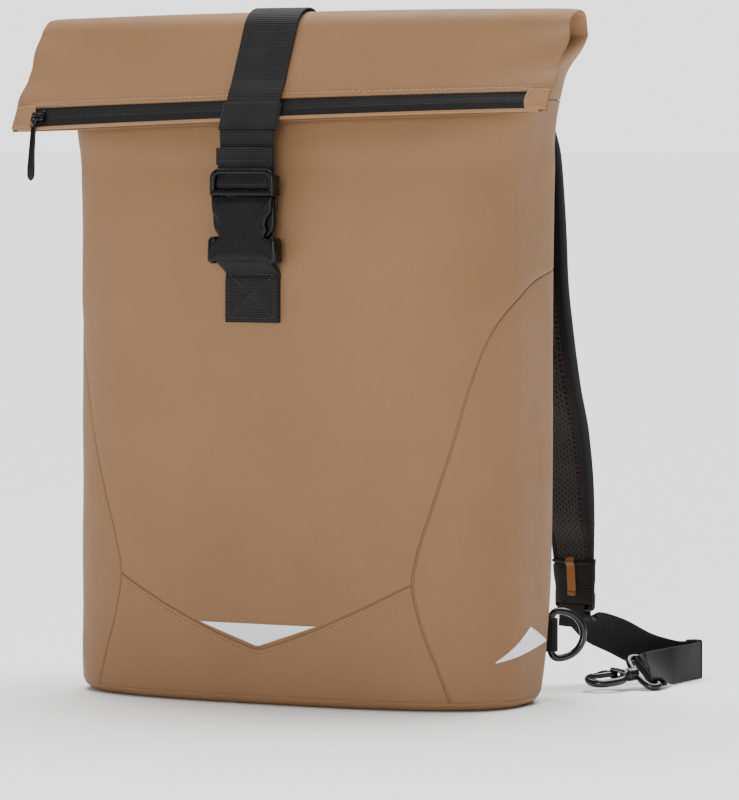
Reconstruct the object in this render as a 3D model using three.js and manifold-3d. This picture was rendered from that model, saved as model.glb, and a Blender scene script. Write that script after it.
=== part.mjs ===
// A roll-top messenger backpack in coated leather cloth, standing on its base.
// Millimetres, +Z up, +X to the right seen from the front, and the front faces -Y.
// The origin is the middle of the flat base, on the surface that the bag stands on.
import * as THREE from "three";
import { mergeVertices } from "three/addons/utils/BufferGeometryUtils.js";
import Module from "manifold-3d";

const wasm = await Module();
wasm.setup();

// Driving sizes of the bag
const bodyWidth = 313;
const frontDepth = 77;
const backDepth = 66;
const rollWidth = 392;
const foldHeight = 450;
const foldRadius = 15;
const rollHalfThickness = 3;
const foldLine = -36;
const flapLength = 65;
const flapLean = 25;
const flapTilt = 0.08;
const rollBend = 34;
const lipBend = 26;
const rollTilt = 1.5;
const collarHeight = 392;
const baseRound = 10;
const baseSeamHeight = 5;
const leather = 1.6;
const seamGap = 0.5;
const clearance = 0.3;

// Seams of the front, as heights above the floor and shares of the way round a section
const vTipHeight = 37;
const vEndHeight = 82;
const kneeRise = 24;
const sideSeamDrop = 108;
const backSeam = 0.63;

// The zip along the mouth of the roll
const zipWidth = 13.5;
const zipThickness = 1;
const zipLip = 3;
const zipEndTab = 20;
const pullerLength = 36;
const pullerWidth = 5.5;

// Webbing, buckle and ring sizes
const wideWebbing = 39;
const narrowWebbing = 25;
const webbing = 1.6;
const buckleWidth = 49;
const buckleThickness = 11;
const buckleDrop = 102;
const frameHeight = 17.5;
const housingHeight = 39;
const buckleStandOff = 4;
const tabDrop = 99;
const keeperHeight = 19;
const ringWire = 2.4;
const ringHeight = 36;
const ringDepth = 27;
const ringStandOff = 7;
const ringCentreHeight = 42;
const ringHeading = 42;

// Shoulder strap and its hook
const strapWidth = 58;
const strapThickness = 9;
const strapBulge = 64;
const strapTwist = 25;
const strapEndHeight = 66;
const strapEdgeInset = 6.5;
const hookLength = 31;
const hookWidth = 22;
const hookWire = 2.7;
const trailSpan = 100;
const eyeWidth = 37;
const eyeDepth = 12;
const eyeWire = 2.3;
const eyeLean = 32;
const hookLean = 12;
const reflectorThickness = 0.5;

// Colours
const tan = 0xa07c5e;
const black = 0x232324;
const gloss = 0x111112;
const silver = 0xd9dde2;

const halfBody = bodyWidth / 2;
const halfRoll = rollWidth / 2;
const foldStart = foldHeight - foldRadius - rollHalfThickness;
const radians = Math.PI / 180;
const foldTurn = (180 - flapLean) * radians;
const flapStart = foldStart + foldRadius * foldTurn;
const mouth = flapStart + flapLength;
const sideSeamTop = collarHeight - sideSeamDrop;
const buckleTop = foldHeight - buckleDrop;
const tabBottom = buckleTop - tabDrop;

// How full the bag is up its height: shares of the height at which the fold starts, and of the
// depths in front of and behind the middle. The last row is the flattened roll.
const fullness = [
  { height: 0.0, front: 0.93, back: 0.97, frontCorner: 2.8, backCorner: 2.7 },
  { height: 0.2, front: 0.955, back: 1.0, frontCorner: 2.8, backCorner: 5 },
  { height: 0.42, front: 1.0, back: 1.0, frontCorner: 2.8, backCorner: 6 },
  { height: 0.58, front: 1.0, back: 1.0, frontCorner: 2.8, backCorner: 6 },
  { height: 0.72, front: 0.98, back: 1.0, frontCorner: 2.8, backCorner: 6 },
  { height: 0.82, front: 0.91, back: 0.97, frontCorner: 2.8, backCorner: 5.5 },
  { height: 0.88, front: 0.74, back: 0.9, frontCorner: 2.8, backCorner: 5 },
  { height: 0.92, front: 0.56, back: 0.77, frontCorner: 2.8, backCorner: 4.4 },
  { height: 0.96, front: 0.32, back: 0.5, frontCorner: 2.8, backCorner: 3.6 },
  { height: 1.0, front: 0, back: 0, frontCorner: 3, backCorner: 3 },
];

// The seam from the base up to the back edge: shares of its height and of the way round
const sideSeam = [
  { height: 0.0, round: 0.339 },
  { height: 0.1, round: 0.312 },
  { height: 0.2, round: 0.285 },
  { height: 0.29, round: 0.272 },
  { height: 0.355, round: 0.28 },
  { height: 0.46, round: 0.304 },
  { height: 0.6, round: 0.337 },
  { height: 0.7, round: 0.358 },
  { height: 0.78, round: 0.378 },
  { height: 0.845, round: 0.4 },
  { height: 0.895, round: 0.43 },
  { height: 0.94, round: 0.481 },
  { height: 0.975, round: 0.54 },
  { height: 1.0, round: backSeam },
];

// A smooth value from a table: a monotone cubic through one column against another
function fromTable(table, key, column, at) {
  const last = table.length - 1;
  const x = Math.min(Math.max(at, table[0][key]), table[last][key]);
  let i = 0;
  while (i < last - 1 && x > table[i + 1][key]) i++;
  const slopeOf = (k) => (table[k + 1][column] - table[k][column]) / (table[k + 1][key] - table[k][key]);
  const tangentAt = (k) => {
    if (k === 0 || k === last) return k === 0 ? slopeOf(0) : slopeOf(last - 1);
    const before = slopeOf(k - 1);
    const after = slopeOf(k);
    return before * after <= 0 ? 0 : (2 * before * after) / (before + after);
  };
  const span = table[i + 1][key] - table[i][key];
  const u = (x - table[i][key]) / span;
  const h = [2 * u ** 3 - 3 * u ** 2 + 1, u ** 3 - 2 * u ** 2 + u, 3 * u ** 2 - 2 * u ** 3, u ** 3 - u ** 2];
  return (
    h[0] * table[i][column] +
    h[1] * span * tangentAt(i) +
    h[2] * table[i + 1][column] +
    h[3] * span * tangentAt(i + 1)
  );
}

const smooth = (x) => {
  const u = Math.min(Math.max(x, 0), 1);
  return u * u * (3 - 2 * u);
};
const mix = (a, b, share) => a + (b - a) * share;
const range = (count, from = 0, to = 1) =>
  Array.from({ length: count + 1 }, (_, i) => mix(from, to, i / count));

// A point on a quarter of a superellipse, at a share of its length from (0, depth) to (width, 0)
function quarterPoint(share, width, depth, power) {
  const steps = 60;
  const points = [];
  const lengths = [0];
  for (let i = 0; i <= steps; i++) {
    const angle = (Math.PI / 2) * (1 - i / steps);
    const x = width * Math.max(Math.cos(angle), 0) ** (2 / power);
    const y = depth * Math.max(Math.sin(angle), 0) ** (2 / power);
    points.push([i === 0 ? 0 : x, i === steps ? 0 : y]);
    if (i) lengths.push(lengths[i - 1] + Math.hypot(x - points[i - 1][0], y - points[i - 1][1]));
  }
  const wanted = share * lengths[steps];
  let i = 1;
  while (i < steps && lengths[i] < wanted) i++;
  const u = (wanted - lengths[i - 1]) / (lengths[i] - lengths[i - 1]);
  return [mix(points[i - 1][0], points[i][0], u), mix(points[i - 1][1], points[i][1], u)];
}

const flare = 1.18;

// Half width, depths and corner shapes of the tube at a distance along it: the skin of the bag
function sectionAt(along) {
  const height = Math.min(along / foldStart, 1);
  const value = (column) => fromTable(fullness, "height", column, height);
  const flat = rollHalfThickness * smooth(height ** 8);
  const front = value("front") * frontDepth + flat;
  const back = value("back") * backDepth + flat;
  const open = Math.min((front + back - 2 * rollHalfThickness) / (frontDepth + backDepth), 1);
  return {
    front,
    back,
    width: halfRoll - (halfRoll - halfBody) * Math.max(open, 0) ** flare,
    frontCorner: value("frontCorner"),
    backCorner: value("backCorner"),
  };
}

// The middle line of the tube in the YZ plane: up, round the fold and down in front
function spineAt(along) {
  const rising = foldLine + foldRadius;
  if (along <= foldStart) {
    return { y: rising * smooth((along / foldStart - 0.8) / 0.2), z: along, turn: 0 };
  }
  const turn = Math.min((along - foldStart) / foldRadius, foldTurn);
  const down = Math.max(along - flapStart, 0);
  return {
    y: foldLine + foldRadius * Math.cos(turn) - down * Math.sin(turn),
    z: foldStart + foldRadius * Math.sin(turn) + down * Math.cos(turn),
    turn,
  };
}

// A point of the skin. round runs from 0 at the front's middle to +1 or -1 at the back's middle,
// along is the distance up the tube, and inset is the depth below the outer surface.
function skinPoint(round, along, inset = 0) {
  const section = sectionAt(along);
  const corner = Math.max(baseRound - along, 0);
  const cut = inset + baseRound - Math.sqrt(baseRound ** 2 - corner ** 2);
  const side = Math.sign(round);
  const share = Math.abs(round);
  const isFront = share <= 0.5;
  const [x, depth] = isFront
    ? quarterPoint(share * 2, section.width - cut, section.front - cut, section.frontCorner)
    : quarterPoint(2 - share * 2, section.width - cut, section.back - cut, section.backCorner);
  const across = side * x;
  const rolled = smooth((along / foldStart - 0.84) / 0.16);
  const down = along - flapStart;
  const tilted = down > 0 ? flapStart + down * (1 - (flapTilt * across) / halfRoll) : along;
  const spine = spineAt(tilted);
  const outward = isFront ? depth : -depth;
  const bend = mix(rollBend, lipBend, smooth((along - flapStart) / flapLength)) * rolled;
  return new THREE.Vector3(
    across,
    spine.y - outward * Math.cos(spine.turn) + bend * (across / halfRoll) ** 2,
    spine.z - outward * Math.sin(spine.turn) + rollTilt * rolled * (across / halfRoll),
  );
}

// The unit vector out of the skin at a point
function skinNormal(round, along) {
  const step = 0.004;
  const rise = 0.5;
  const here = skinPoint(round, along);
  const across = skinPoint(round + step, along).sub(skinPoint(round - step, along));
  const up = skinPoint(round, along + rise).sub(skinPoint(round, Math.max(along - rise, 0)));
  const normal = across.cross(up).normalize();
  return normal.dot(normal) > 0 ? normal : here.normalize();
}

const offSkin = (round, along, distance) =>
  skinPoint(round, along).addScaledVector(skinNormal(round, along), distance);

// A closed surface from points and triangles, turned so that its faces point outwards
function closedGeometry(points, triangles) {
  const flat = points.flatMap((p) => [p.x, p.y, p.z]);
  let volume = 0;
  for (const [a, b, c] of triangles) {
    volume += points[a].clone().cross(points[b]).dot(points[c]);
  }
  const indices = triangles.flatMap(([a, b, c]) => (volume < 0 ? [a, c, b] : [a, b, c]));
  const geometry = new THREE.BufferGeometry();
  geometry.setAttribute("position", new THREE.Float32BufferAttribute(flat, 3));
  geometry.setIndex(indices);
  geometry.computeVertexNormals();
  return geometry;
}

const quad = (a, b, c, d) => [
  [a, b, c],
  [a, c, d],
];

// A wall between an outer and an inner grid of points, closed along its four edges. Each cell is
// cut along the diagonal that bulges outwards, on both faces alike.
function wallGeometry(outer, inner) {
  const rows = outer.length;
  const columns = outer[0].length;
  const at = (layer, r, c) => layer * rows * columns + r * columns + c;
  const triangles = [];
  for (let r = 0; r < rows - 1; r++) {
    for (let c = 0; c < columns - 1; c++) {
      const corners = [[r, c], [r, c + 1], [r + 1, c + 1], [r + 1, c]];
      const points = corners.map(([i, j]) => outer[i][j]);
      const out = points[0].clone().sub(inner[r][c]);
      const bulge = points[0].clone().add(points[2]).sub(points[1]).sub(points[3]).dot(out);
      const order = bulge >= 0 ? [0, 1, 2, 3] : [1, 2, 3, 0];
      const cell = order.map((k) => corners[k]);
      triangles.push(...quad(...cell.map(([i, j]) => at(0, i, j))));
      triangles.push(...quad(...cell.map(([i, j]) => at(1, i, j))).map(([a, b, d]) => [a, d, b]));
    }
  }
  const edge = [];
  for (let c = 0; c < columns; c++) edge.push([0, c]);
  for (let r = 1; r < rows; r++) edge.push([r, columns - 1]);
  for (let c = columns - 2; c >= 0; c--) edge.push([rows - 1, c]);
  for (let r = rows - 2; r > 0; r--) edge.push([r, 0]);
  edge.forEach(([r, c], i) => {
    const [nextRow, nextColumn] = edge[(i + 1) % edge.length];
    triangles.push(...quad(at(0, r, c), at(1, r, c), at(1, nextRow, nextColumn), at(0, nextRow, nextColumn)));
  });
  return closedGeometry([...outer.flat(), ...inner.flat()], triangles);
}

// A solid through closed rings of points: capped at both ends, or joined into a loop
function ringsGeometry(rings, isLoop = false) {
  const count = rings[0].length;
  const points = rings.flat();
  const triangles = [];
  const spans = isLoop ? rings.length : rings.length - 1;
  for (let r = 0; r < spans; r++) {
    const next = (r + 1) % rings.length;
    for (let c = 0; c < count; c++) {
      const d = (c + 1) % count;
      triangles.push(...quad(r * count + c, r * count + d, next * count + d, next * count + c));
    }
  }
  if (!isLoop) {
    const lastRing = (rings.length - 1) * count;
    for (const [first, flip] of [[0, true], [lastRing, false]]) {
      const middle = points.length;
      const centre = new THREE.Vector3();
      for (let c = 0; c < count; c++) centre.addScaledVector(points[first + c], 1 / count);
      points.push(centre);
      for (let c = 0; c < count; c++) {
        const pair = [first + c, first + ((c + 1) % count)];
        triangles.push(flip ? [middle, pair[1], pair[0]] : [middle, pair[0], pair[1]]);
      }
    }
  }
  return closedGeometry(points, triangles);
}

// A solid for booleans, and back again
function toSolid(geometry) {
  const bare = geometry.clone();
  bare.deleteAttribute("normal");
  bare.deleteAttribute("uv");
  const merged = mergeVertices(bare, 1e-4);
  return new wasm.Manifold(
    new wasm.Mesh({
      numProp: 3,
      vertProperties: merged.attributes.position.array,
      triVerts: new Uint32Array(merged.index.array),
    }),
  );
}

function fromSolid(solid) {
  const mesh = solid.getMesh();
  const geometry = new THREE.BufferGeometry();
  geometry.setAttribute("position", new THREE.Float32BufferAttribute(mesh.vertProperties, 3));
  geometry.setIndex(new THREE.Uint32BufferAttribute(mesh.triVerts, 1));
  geometry.computeVertexNormals();
  return geometry;
}

function mesh(name, geometry, color, roughness = 0.6, metalness = 0) {
  const made = new THREE.Mesh(geometry, new THREE.MeshStandardMaterial({ color, roughness, metalness }));
  made.name = name;
  return made;
}

// Panels of the body

const seamRound = (height) => fromTable(sideSeam, "height", "round", Math.min(height / sideSeamTop, 1));
const junctionRound = seamRound(vEndHeight);
const vHeight = (round) => mix(vTipHeight, vEndHeight, (Math.abs(round) / junctionRound) ** 1.22);

// A panel of skin over a grid of places: place(row, column) gives round and along
function panelGeometry(rows, columns, place) {
  const grid = (inset) => rows.map((r) => columns.map((c) => skinPoint(...place(r, c), inset)));
  return wallGeometry(grid(0), grid(leather));
}

const seamShare = seamGap / (2 * (halfBody + frontDepth));
const halfGap = seamGap / 2;
const panelTop = collarHeight - halfGap;
const panelBottom = baseSeamHeight + halfGap;

// Heights shared by the panels on both sides of a seam
const footRows = range(4, panelBottom, vEndHeight - halfGap);
const firstLevel = vEndHeight + kneeRise;
const kneeRows = range(2, vEndHeight + halfGap, firstLevel);
const sideLevels = [0, 0.18, 0.36, 0.52, 0.66, 0.78, 0.87, 0.94, 0.984].map((share) =>
  mix(firstLevel, sideSeamTop, share),
);
const upperLevels = [0, 0.3, 0.6, 0.82, 1].map((share) => mix(sideSeamTop, panelTop, share));

function frontPanel() {
  const knee = [0, 0.5];
  const rows = [...knee, ...sideLevels, ...upperLevels];
  return panelGeometry(rows, range(16, -1, 1), (row, column) => {
    const bottom = vHeight(column * junctionRound) + halfGap;
    const along = row < 1 ? mix(bottom, firstLevel, row) : row;
    const edge = along >= sideSeamTop ? backSeam : seamRound(Math.max(along, vEndHeight));
    return [column * (edge - seamShare), along];
  });
}

function lowerFrontPanel() {
  return panelGeometry(range(4), range(16, -1, 1), (row, column) => {
    const edge = seamRound(mix(panelBottom, vEndHeight - halfGap, row));
    const top = vHeight(column * junctionRound) - halfGap;
    return [column * (edge - seamShare), mix(panelBottom, top, row)];
  });
}

function sidePanel() {
  const rows = [...footRows, ...kneeRows.slice(0, -1), ...sideLevels];
  return panelGeometry(rows, range(6), (row, column) => [
    mix(seamRound(row) + seamShare, backSeam - seamShare, column),
    row,
  ]);
}

function backPanel() {
  const rows = [...footRows, ...sideLevels.filter((_, i) => i % 3 === 0), ...upperLevels];
  const columns = [0, 0.08, 0.16, 0.28, 0.45, 0.7, 1];
  const around = [...columns, ...columns.slice(0, -1).reverse().map((c) => 2 - c)];
  return panelGeometry(rows, around, (row, column) => {
    const round = mix(backSeam + seamShare, 1, Math.min(column, 2 - column));
    return [column <= 1 ? round : -round, row];
  });
}

// The base is a shallow dish: a flat floor, and the turned-up edge below the base seam
function basePanel() {
  const count = 32;
  const rounds = range(count, 0, 2).slice(0, count).map((r) => (r > 1 ? r - 2 : r));
  const top = baseSeamHeight - seamGap / 2;
  const ring = (along, share, lift, inset) =>
    rounds.map((round) => {
      const p = skinPoint(round, along, inset);
      return new THREE.Vector3(p.x * share, p.y * share, Math.max(along, lift));
    });
  const outer = [ring(0, 0.35, 0, 0), ring(0, 1, 0, 0), ring(top * 0.3, 1, 0, 0), ring(top, 1, 0, 0)];
  const inner = [
    ring(top, 1, 0, leather),
    ring(top * 0.45, 1, leather, leather),
    ring(0, 0.35, leather, leather),
  ];
  return ringsGeometry([...outer, ...inner]);
}

// Distances along the roll: up from the collar, round the fold, and down the flap to an end
function rollAlongs(end) {
  return [
    ...[0, 0.25, 0.5, 0.75, 1].map((share) => mix(collarHeight + halfGap, foldStart, share)),
    ...[0.16, 0.33, 0.5, 0.67, 0.84, 1].map((share) => mix(foldStart, flapStart, share)),
    ...[0.35, 0.7, 1].map((share) => mix(flapStart, end, share)),
  ];
}

// The flattened tube above the body, folded over to the front, open at its mouth
function rollTop() {
  const rounds = [0, 0.13, 0.26, 0.37, 0.44, 0.475, 0.5, 0.525, 0.56, 0.63, 0.74, 0.87, 1];
  const around = [...rounds, ...rounds.slice(1, -1).reverse().map((r) => -r)];
  // The outer layer stops short of the mouth, where the zip fills the gap
  const endAt = (round) => mouth - (zipWidth + zipLip) * smooth((Math.abs(round) - 0.5) / 0.035);
  const rows = rollAlongs(mouth).length;
  const ring = (k, inset) => around.map((round) => skinPoint(round, rollAlongs(endAt(round))[k], inset));
  const steps = Array.from({ length: rows }, (_, k) => k);
  return ringsGeometry(
    [...steps.map((k) => ring(k, 0)), ...steps.reverse().map((k) => ring(k, leather))],
    true,
  );
}

// Zip: a band let into the flap's face above its lip, with a tab over each end
const zipTop = mouth - zipLip - zipWidth + clearance;
const zipBottom = mouth - zipLip;
const rollEdge = (across) => 1 - 0.5 * Math.abs(across) / halfRoll;

// A point on the flap's face at a distance across, measured from the middle
function flapPoint(across, along, distance) {
  const round = Math.sign(across || 1) * rollEdge(across);
  return offSkin(round, along, distance);
}

function flapStrip(from, to, low, high, below, thickness, steps) {
  const alongs = range(2, low, high);
  const grid = (distance) =>
    alongs.map((along) => range(steps, from, to).map((across) => flapPoint(across, along, distance)));
  return wallGeometry(grid(-below), grid(-below - thickness));
}

function zipTape() {
  const reach = halfRoll - zipEndTab - 1.5;
  return flapStrip(-reach, reach, zipTop + 0.8, zipBottom, 0.3, zipThickness, 20);
}

// A patch of leather laid over an end of the zip
function zipEnd(side) {
  const near = halfRoll - zipEndTab - 2.5;
  const far = halfRoll - 4;
  const [from, to] = side > 0 ? [near, far] : [-far, -near];
  return flapStrip(from, to, zipTop - 2, zipBottom, -clearance - 1.1, 1.1, 4);
}

// A bar with rounded ends between two points, flat across the given direction
function flatBar(profile, sections) {
  return ringsGeometry(
    sections.map(({ at, across, through, width, thickness }) =>
      profile.map(([u, w]) =>
        at.clone().addScaledVector(across, (u * width) / 2).addScaledVector(through, (w * thickness) / 2),
      ),
    ),
  );
}

const roundProfile = (sides) =>
  range(sides, 0, 2 * Math.PI).slice(0, sides).map((a) => [Math.cos(a), Math.sin(a)]);
const boxProfile = [[-1, -1], [1, -1], [1, 1], [-1, 1]];
const softHalf = [[-1, 0], [-0.94, -0.7], [-0.8, -1], [0.8, -1], [0.94, -0.7]];
const softProfile = [...softHalf, ...softHalf.map(([u, w]) => [-u, -w])];

const sliderAcross = -(halfRoll - zipEndTab - 8);
const sliderLength = 9;

function zipSlider() {
  const across = new THREE.Vector3(1, 0, 0);
  const along = range(3, zipTop + 3, zipBottom - 1);
  return flatBar(
    softProfile,
    along.map((a) => ({
      at: flapPoint(sliderAcross, a, clearance + 1.4),
      across,
      through: skinNormal(-rollEdge(sliderAcross), a),
      width: sliderLength,
      thickness: 2,
    })),
  );
}

// The puller hangs from the slider: a slim tongue that widens to a round end
function zipPuller() {
  const top = flapPoint(sliderAcross, zipBottom - 2, 4.7);
  const shape = [
    { down: 0, width: 0.5 },
    { down: 0.1, width: 0.62 },
    { down: 0.6, width: 0.86 },
    { down: 0.85, width: 1 },
    { down: 0.96, width: 0.8 },
    { down: 1, width: 0.4 },
  ];
  const swing = -0.07;
  return flatBar(
    roundProfile(8),
    shape.map(({ down, width }) => ({
      at: top.clone().add(new THREE.Vector3(swing * down * pullerLength, 0, -down * pullerLength)),
      across: new THREE.Vector3(1, 0, 0),
      through: new THREE.Vector3(0, 1, 0),
      width: width * pullerWidth,
      thickness: 2.2,
    })),
  );
}

// A ribbon of webbing through stations, each with its width direction
function ribbon(stations, width, thickness) {
  const rings = stations.map(({ at, wide }, i) => {
    const before = stations[Math.max(i - 1, 0)].at;
    const after = stations[Math.min(i + 1, stations.length - 1)].at;
    const tangent = after.clone().sub(before).normalize();
    const across = wide.clone().addScaledVector(tangent, -wide.dot(tangent)).normalize();
    const through = tangent.clone().cross(across).normalize();
    return boxProfile.map(([u, w]) =>
      at.clone().addScaledVector(across, (u * width) / 2).addScaledVector(through, (w * thickness) / 2),
    );
  });
  return ringsGeometry(rings);
}

// The closing strap: sewn on behind the collar, over the fold, down the flap, and round the pin
// of the buckle, with its tail turned up again in front of it
const strapOff = clearance + webbing / 2;
const bodyFace = skinPoint(0, tabBottom).y;
const buckleY = bodyFace - 2 * webbing - buckleStandOff - buckleThickness / 2;
const pinRadius = 2;
const pinHeight = buckleTop - frameHeight * 0.56;
const pinY = buckleY + 0.8;
const loopRadius = pinRadius + strapOff;
const railDepth = 3.8;
const tailEnd = buckleTop + 12;
const keeperRoom = 1.7;
const strapHead = offSkin(1, zipTop - 4, strapOff + keeperRoom);
const strapFoot = offSkin(1, mouth + 10, strapOff + keeperRoom);
const keeperPlace = offSkin(1, mouth - 1, strapOff + keeperRoom);

function closingStrap() {
  const wide = new THREE.Vector3(1, 0, 0);
  const alongs = rollAlongs(mouth).filter((along) => along < zipTop - 10);
  const places = alongs.map((along) => offSkin(1, along, strapOff + 0.8));
  places.push(strapHead, strapFoot);
  const behind = new THREE.Vector3(0, pinY + loopRadius, pinHeight);
  places.push(strapFoot.clone().lerp(behind, 0.5));
  for (const angle of range(7, 0, Math.PI)) {
    const y = pinY + loopRadius * Math.cos(angle);
    places.push(new THREE.Vector3(0, y, pinHeight - loopRadius * Math.sin(angle)));
  }
  const railFace = buckleY - buckleThickness / 2 + railDepth;
  places.push(new THREE.Vector3(0, railFace + clearance + webbing / 2 + 0.1, buckleTop - 4.4));
  places.push(new THREE.Vector3(0, railFace + clearance + webbing / 2 + 0.1, buckleTop));
  const share = (strapFoot.z - tailEnd) / (strapFoot.z - pinHeight);
  places.push(new THREE.Vector3(0, mix(strapFoot.y, behind.y, share) - webbing - clearance, tailEnd));
  return ribbon(places.map((at) => ({ at, wide })), wideWebbing, webbing);
}

// A rectangular band round the strap, sized from it with a clearance
function strapKeeper() {
  const up = strapHead.clone().sub(strapFoot).normalize();
  const normal = new THREE.Vector3(0, -up.z, up.y);
  const inner = [wideWebbing / 2 + clearance, webbing / 2 + clearance / 2];
  const outer = inner.map((size) => size + 1);
  const loop = (sizes, height) =>
    boxProfile.map(([u, w]) =>
      keeperPlace
        .clone()
        .add(new THREE.Vector3(u * sizes[0], 0, 0))
        .addScaledVector(normal, w * sizes[1])
        .addScaledVector(up, height),
    );
  const half = keeperHeight / 2;
  return ringsGeometry([loop(outer, -half), loop(outer, half), loop(inner, half), loop(inner, -half)], true);
}

// An extrusion of an outline in the XZ plane, centred on a depth
function slab(shape, thickness, depth, bevel = 0) {
  const geometry = new THREE.ExtrudeGeometry(shape, {
    depth: thickness - 2 * bevel,
    bevelEnabled: bevel > 0,
    bevelThickness: bevel,
    bevelSize: bevel,
    bevelOffset: -bevel,
    bevelSegments: 1,
    curveSegments: 3,
  });
  geometry.translate(0, 0, -(thickness - 2 * bevel) / 2);
  geometry.rotateX(Math.PI / 2);
  geometry.translate(0, depth, 0);
  return toSolid(geometry);
}

function roundedRectangle(width, bottom, top, radius) {
  const shape = new THREE.Shape();
  const half = width / 2;
  shape.moveTo(-half + radius, bottom);
  shape.lineTo(half - radius, bottom);
  shape.absarc(half - radius, bottom + radius, radius, -Math.PI / 2, 0);
  shape.lineTo(half, top - radius);
  shape.absarc(half - radius, top - radius, radius, 0, Math.PI / 2);
  shape.lineTo(-half + radius, top);
  shape.absarc(-half + radius, top - radius, radius, Math.PI / 2, Math.PI);
  shape.lineTo(-half, bottom + radius);
  shape.absarc(-half + radius, bottom + radius, radius, Math.PI, Math.PI * 1.5);
  return shape;
}

const frameBottom = buckleTop - frameHeight;
const housingTop = frameBottom - clearance;
const housingBottom = housingTop - housingHeight;
const armOffset = buckleWidth / 2 - 6;
const barRadius = 2.4;

// The male half: a frame with a pin for the strap, and arms inside the housing
function buckleMale() {
  const rail = 3.2;
  const outline = roundedRectangle(buckleWidth - 1, frameBottom, buckleTop, 5);
  const outer = slab(outline, buckleThickness, buckleY, 1);
  const gap = wideWebbing + 2 * clearance + 0.6;
  const windowTop = buckleTop - rail;
  const windowBottom = frameBottom + rail;
  const window = slab(roundedRectangle(gap, windowBottom, windowTop, 1), buckleThickness + 2, buckleY);
  // Room behind the top rail for the strap and its tail
  const strapRoom = slab(
    roundedRectangle(gap, windowTop - 1, buckleTop + 1, 0.5),
    buckleThickness,
    buckleY + railDepth,
  );
  const pin = new THREE.CylinderGeometry(pinRadius, pinRadius, gap + 2, 8);
  pin.rotateZ(Math.PI / 2);
  pin.translate(0, pinY, pinHeight);
  const arm = (side) => {
    const shape = new THREE.Shape();
    const x = side * armOffset;
    const out = side * (buckleWidth / 2 - 0.2);
    shape.moveTo(x - side * 2, frameBottom + 1);
    shape.lineTo(x + side * 2.5, frameBottom + 1);
    shape.quadraticCurveTo(out, frameBottom - 6, out - side * 0.2, frameBottom - 15);
    shape.quadraticCurveTo(out - side * 0.5, frameBottom - 24, out - side * 6, frameBottom - 27);
    shape.lineTo(x - side * 3, frameBottom - 25);
    shape.lineTo(x - side * 1.5, frameBottom - 12);
    return slab(shape, 4.6, buckleY);
  };
  return fromSolid(
    outer.subtract(window).subtract(strapRoom).add(toSolid(pin)).add(arm(1)).add(arm(-1)),
  );
}

// The female half: a housing with waisted sides, open where the arms are pressed
function buckleFemale() {
  const half = buckleWidth / 2;
  const shape = new THREE.Shape();
  shape.moveTo(-half + 1, housingTop);
  shape.lineTo(half - 1, housingTop);
  shape.quadraticCurveTo(half - 0.5, housingTop - 14, half - 6.5, housingTop - 26);
  shape.quadraticCurveTo(half + 1.2, housingTop - 28, half + 0.5, housingBottom + 6);
  shape.quadraticCurveTo(half, housingBottom, half - 5, housingBottom - 3);
  shape.lineTo(-half + 5, housingBottom - 3);
  shape.quadraticCurveTo(-half, housingBottom, -half - 0.5, housingBottom + 6);
  shape.quadraticCurveTo(-half - 1.2, housingTop - 28, -half + 6.5, housingTop - 26);
  shape.quadraticCurveTo(-half + 0.5, housingTop - 14, -half + 1, housingTop);
  const body = slab(shape, buckleThickness, buckleY, 1.2);
  const inside = roundedRectangle(buckleWidth * 2, housingTop - 27.5, housingTop + 5, 0.5);
  const cavity = slab(inside, 5.4, buckleY);
  const press = (side) => {
    const notch = new THREE.CylinderGeometry(8, 8, buckleThickness + 4, 14);
    notch.translate(side * (half + 2.5), buckleY, housingTop - 17.5);
    return toSolid(notch);
  };
  const gap = wideWebbing + 2 * clearance + 0.6;
  const opening = roundedRectangle(gap, housingBottom - 5, housingBottom + 7.8, 1);
  const slot = slab(opening, buckleThickness + 4, buckleY);
  const bar = new THREE.CylinderGeometry(barRadius, barRadius, gap + 4, 8);
  bar.rotateZ(Math.PI / 2);
  bar.translate(0, buckleY, housingBottom);
  return fromSolid(
    body.subtract(cavity).subtract(press(1)).subtract(press(-1)).subtract(slot).add(toSolid(bar)),
  );
}

// The tab sewn to the front: two layers of webbing, looped round the housing's lower bar
function buckleTab() {
  const reach = barRadius + strapOff;
  const wide = new THREE.Vector3(1, 0, 0);
  const face = (height, layer) =>
    skinPoint(0, height).y - clearance - webbing / 2 - layer * (webbing + clearance);
  const sewnTop = housingBottom - 10;
  const places = [];
  for (const height of range(2, tabBottom, sewnTop)) {
    places.push(new THREE.Vector3(0, face(height, 0), height));
  }
  for (const angle of range(9, -0.2 * Math.PI, 1.28 * Math.PI)) {
    const y = buckleY + reach * Math.cos(angle);
    places.push(new THREE.Vector3(0, y, housingBottom + reach * Math.sin(angle)));
  }
  for (const height of range(2, sewnTop, tabBottom)) {
    places.push(new THREE.Vector3(0, face(height, 1), height));
  }
  return ribbon(places.map((at) => ({ at, wide })), wideWebbing, webbing);
}

// Reflectors: thin triangles on the skin, between two corners and a tip given as [round, height]
function reflector([near, far], tip, rows, columns, off) {
  const grid = (distance) =>
    range(rows).map((down) =>
      range(columns).map((across) => {
        const share = down * 0.94;
        const low = [mix(near[0], tip[0], share), mix(near[1], tip[1], share)];
        const high = [mix(far[0], tip[0], share), mix(far[1], tip[1], share)];
        return offSkin(mix(low[0], high[0], across), mix(low[1], high[1], across), distance);
      }),
    );
  return wallGeometry(grid(off + reflectorThickness), grid(off));
}

const frontReflectorHalf = 0.108;
const reflectorLift = 1.7;

function frontReflector() {
  const top = vHeight(frontReflectorHalf) + reflectorLift;
  const tip = [0, vTipHeight + reflectorLift];
  return reflector([[-frontReflectorHalf, top], [frontReflectorHalf, top]], tip, 3, 8, clearance);
}

const sideReflectorCorners = {
  top: [0.504, 52],
  back: [0.57, 41],
  tip: [0.405, 31],
};

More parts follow.
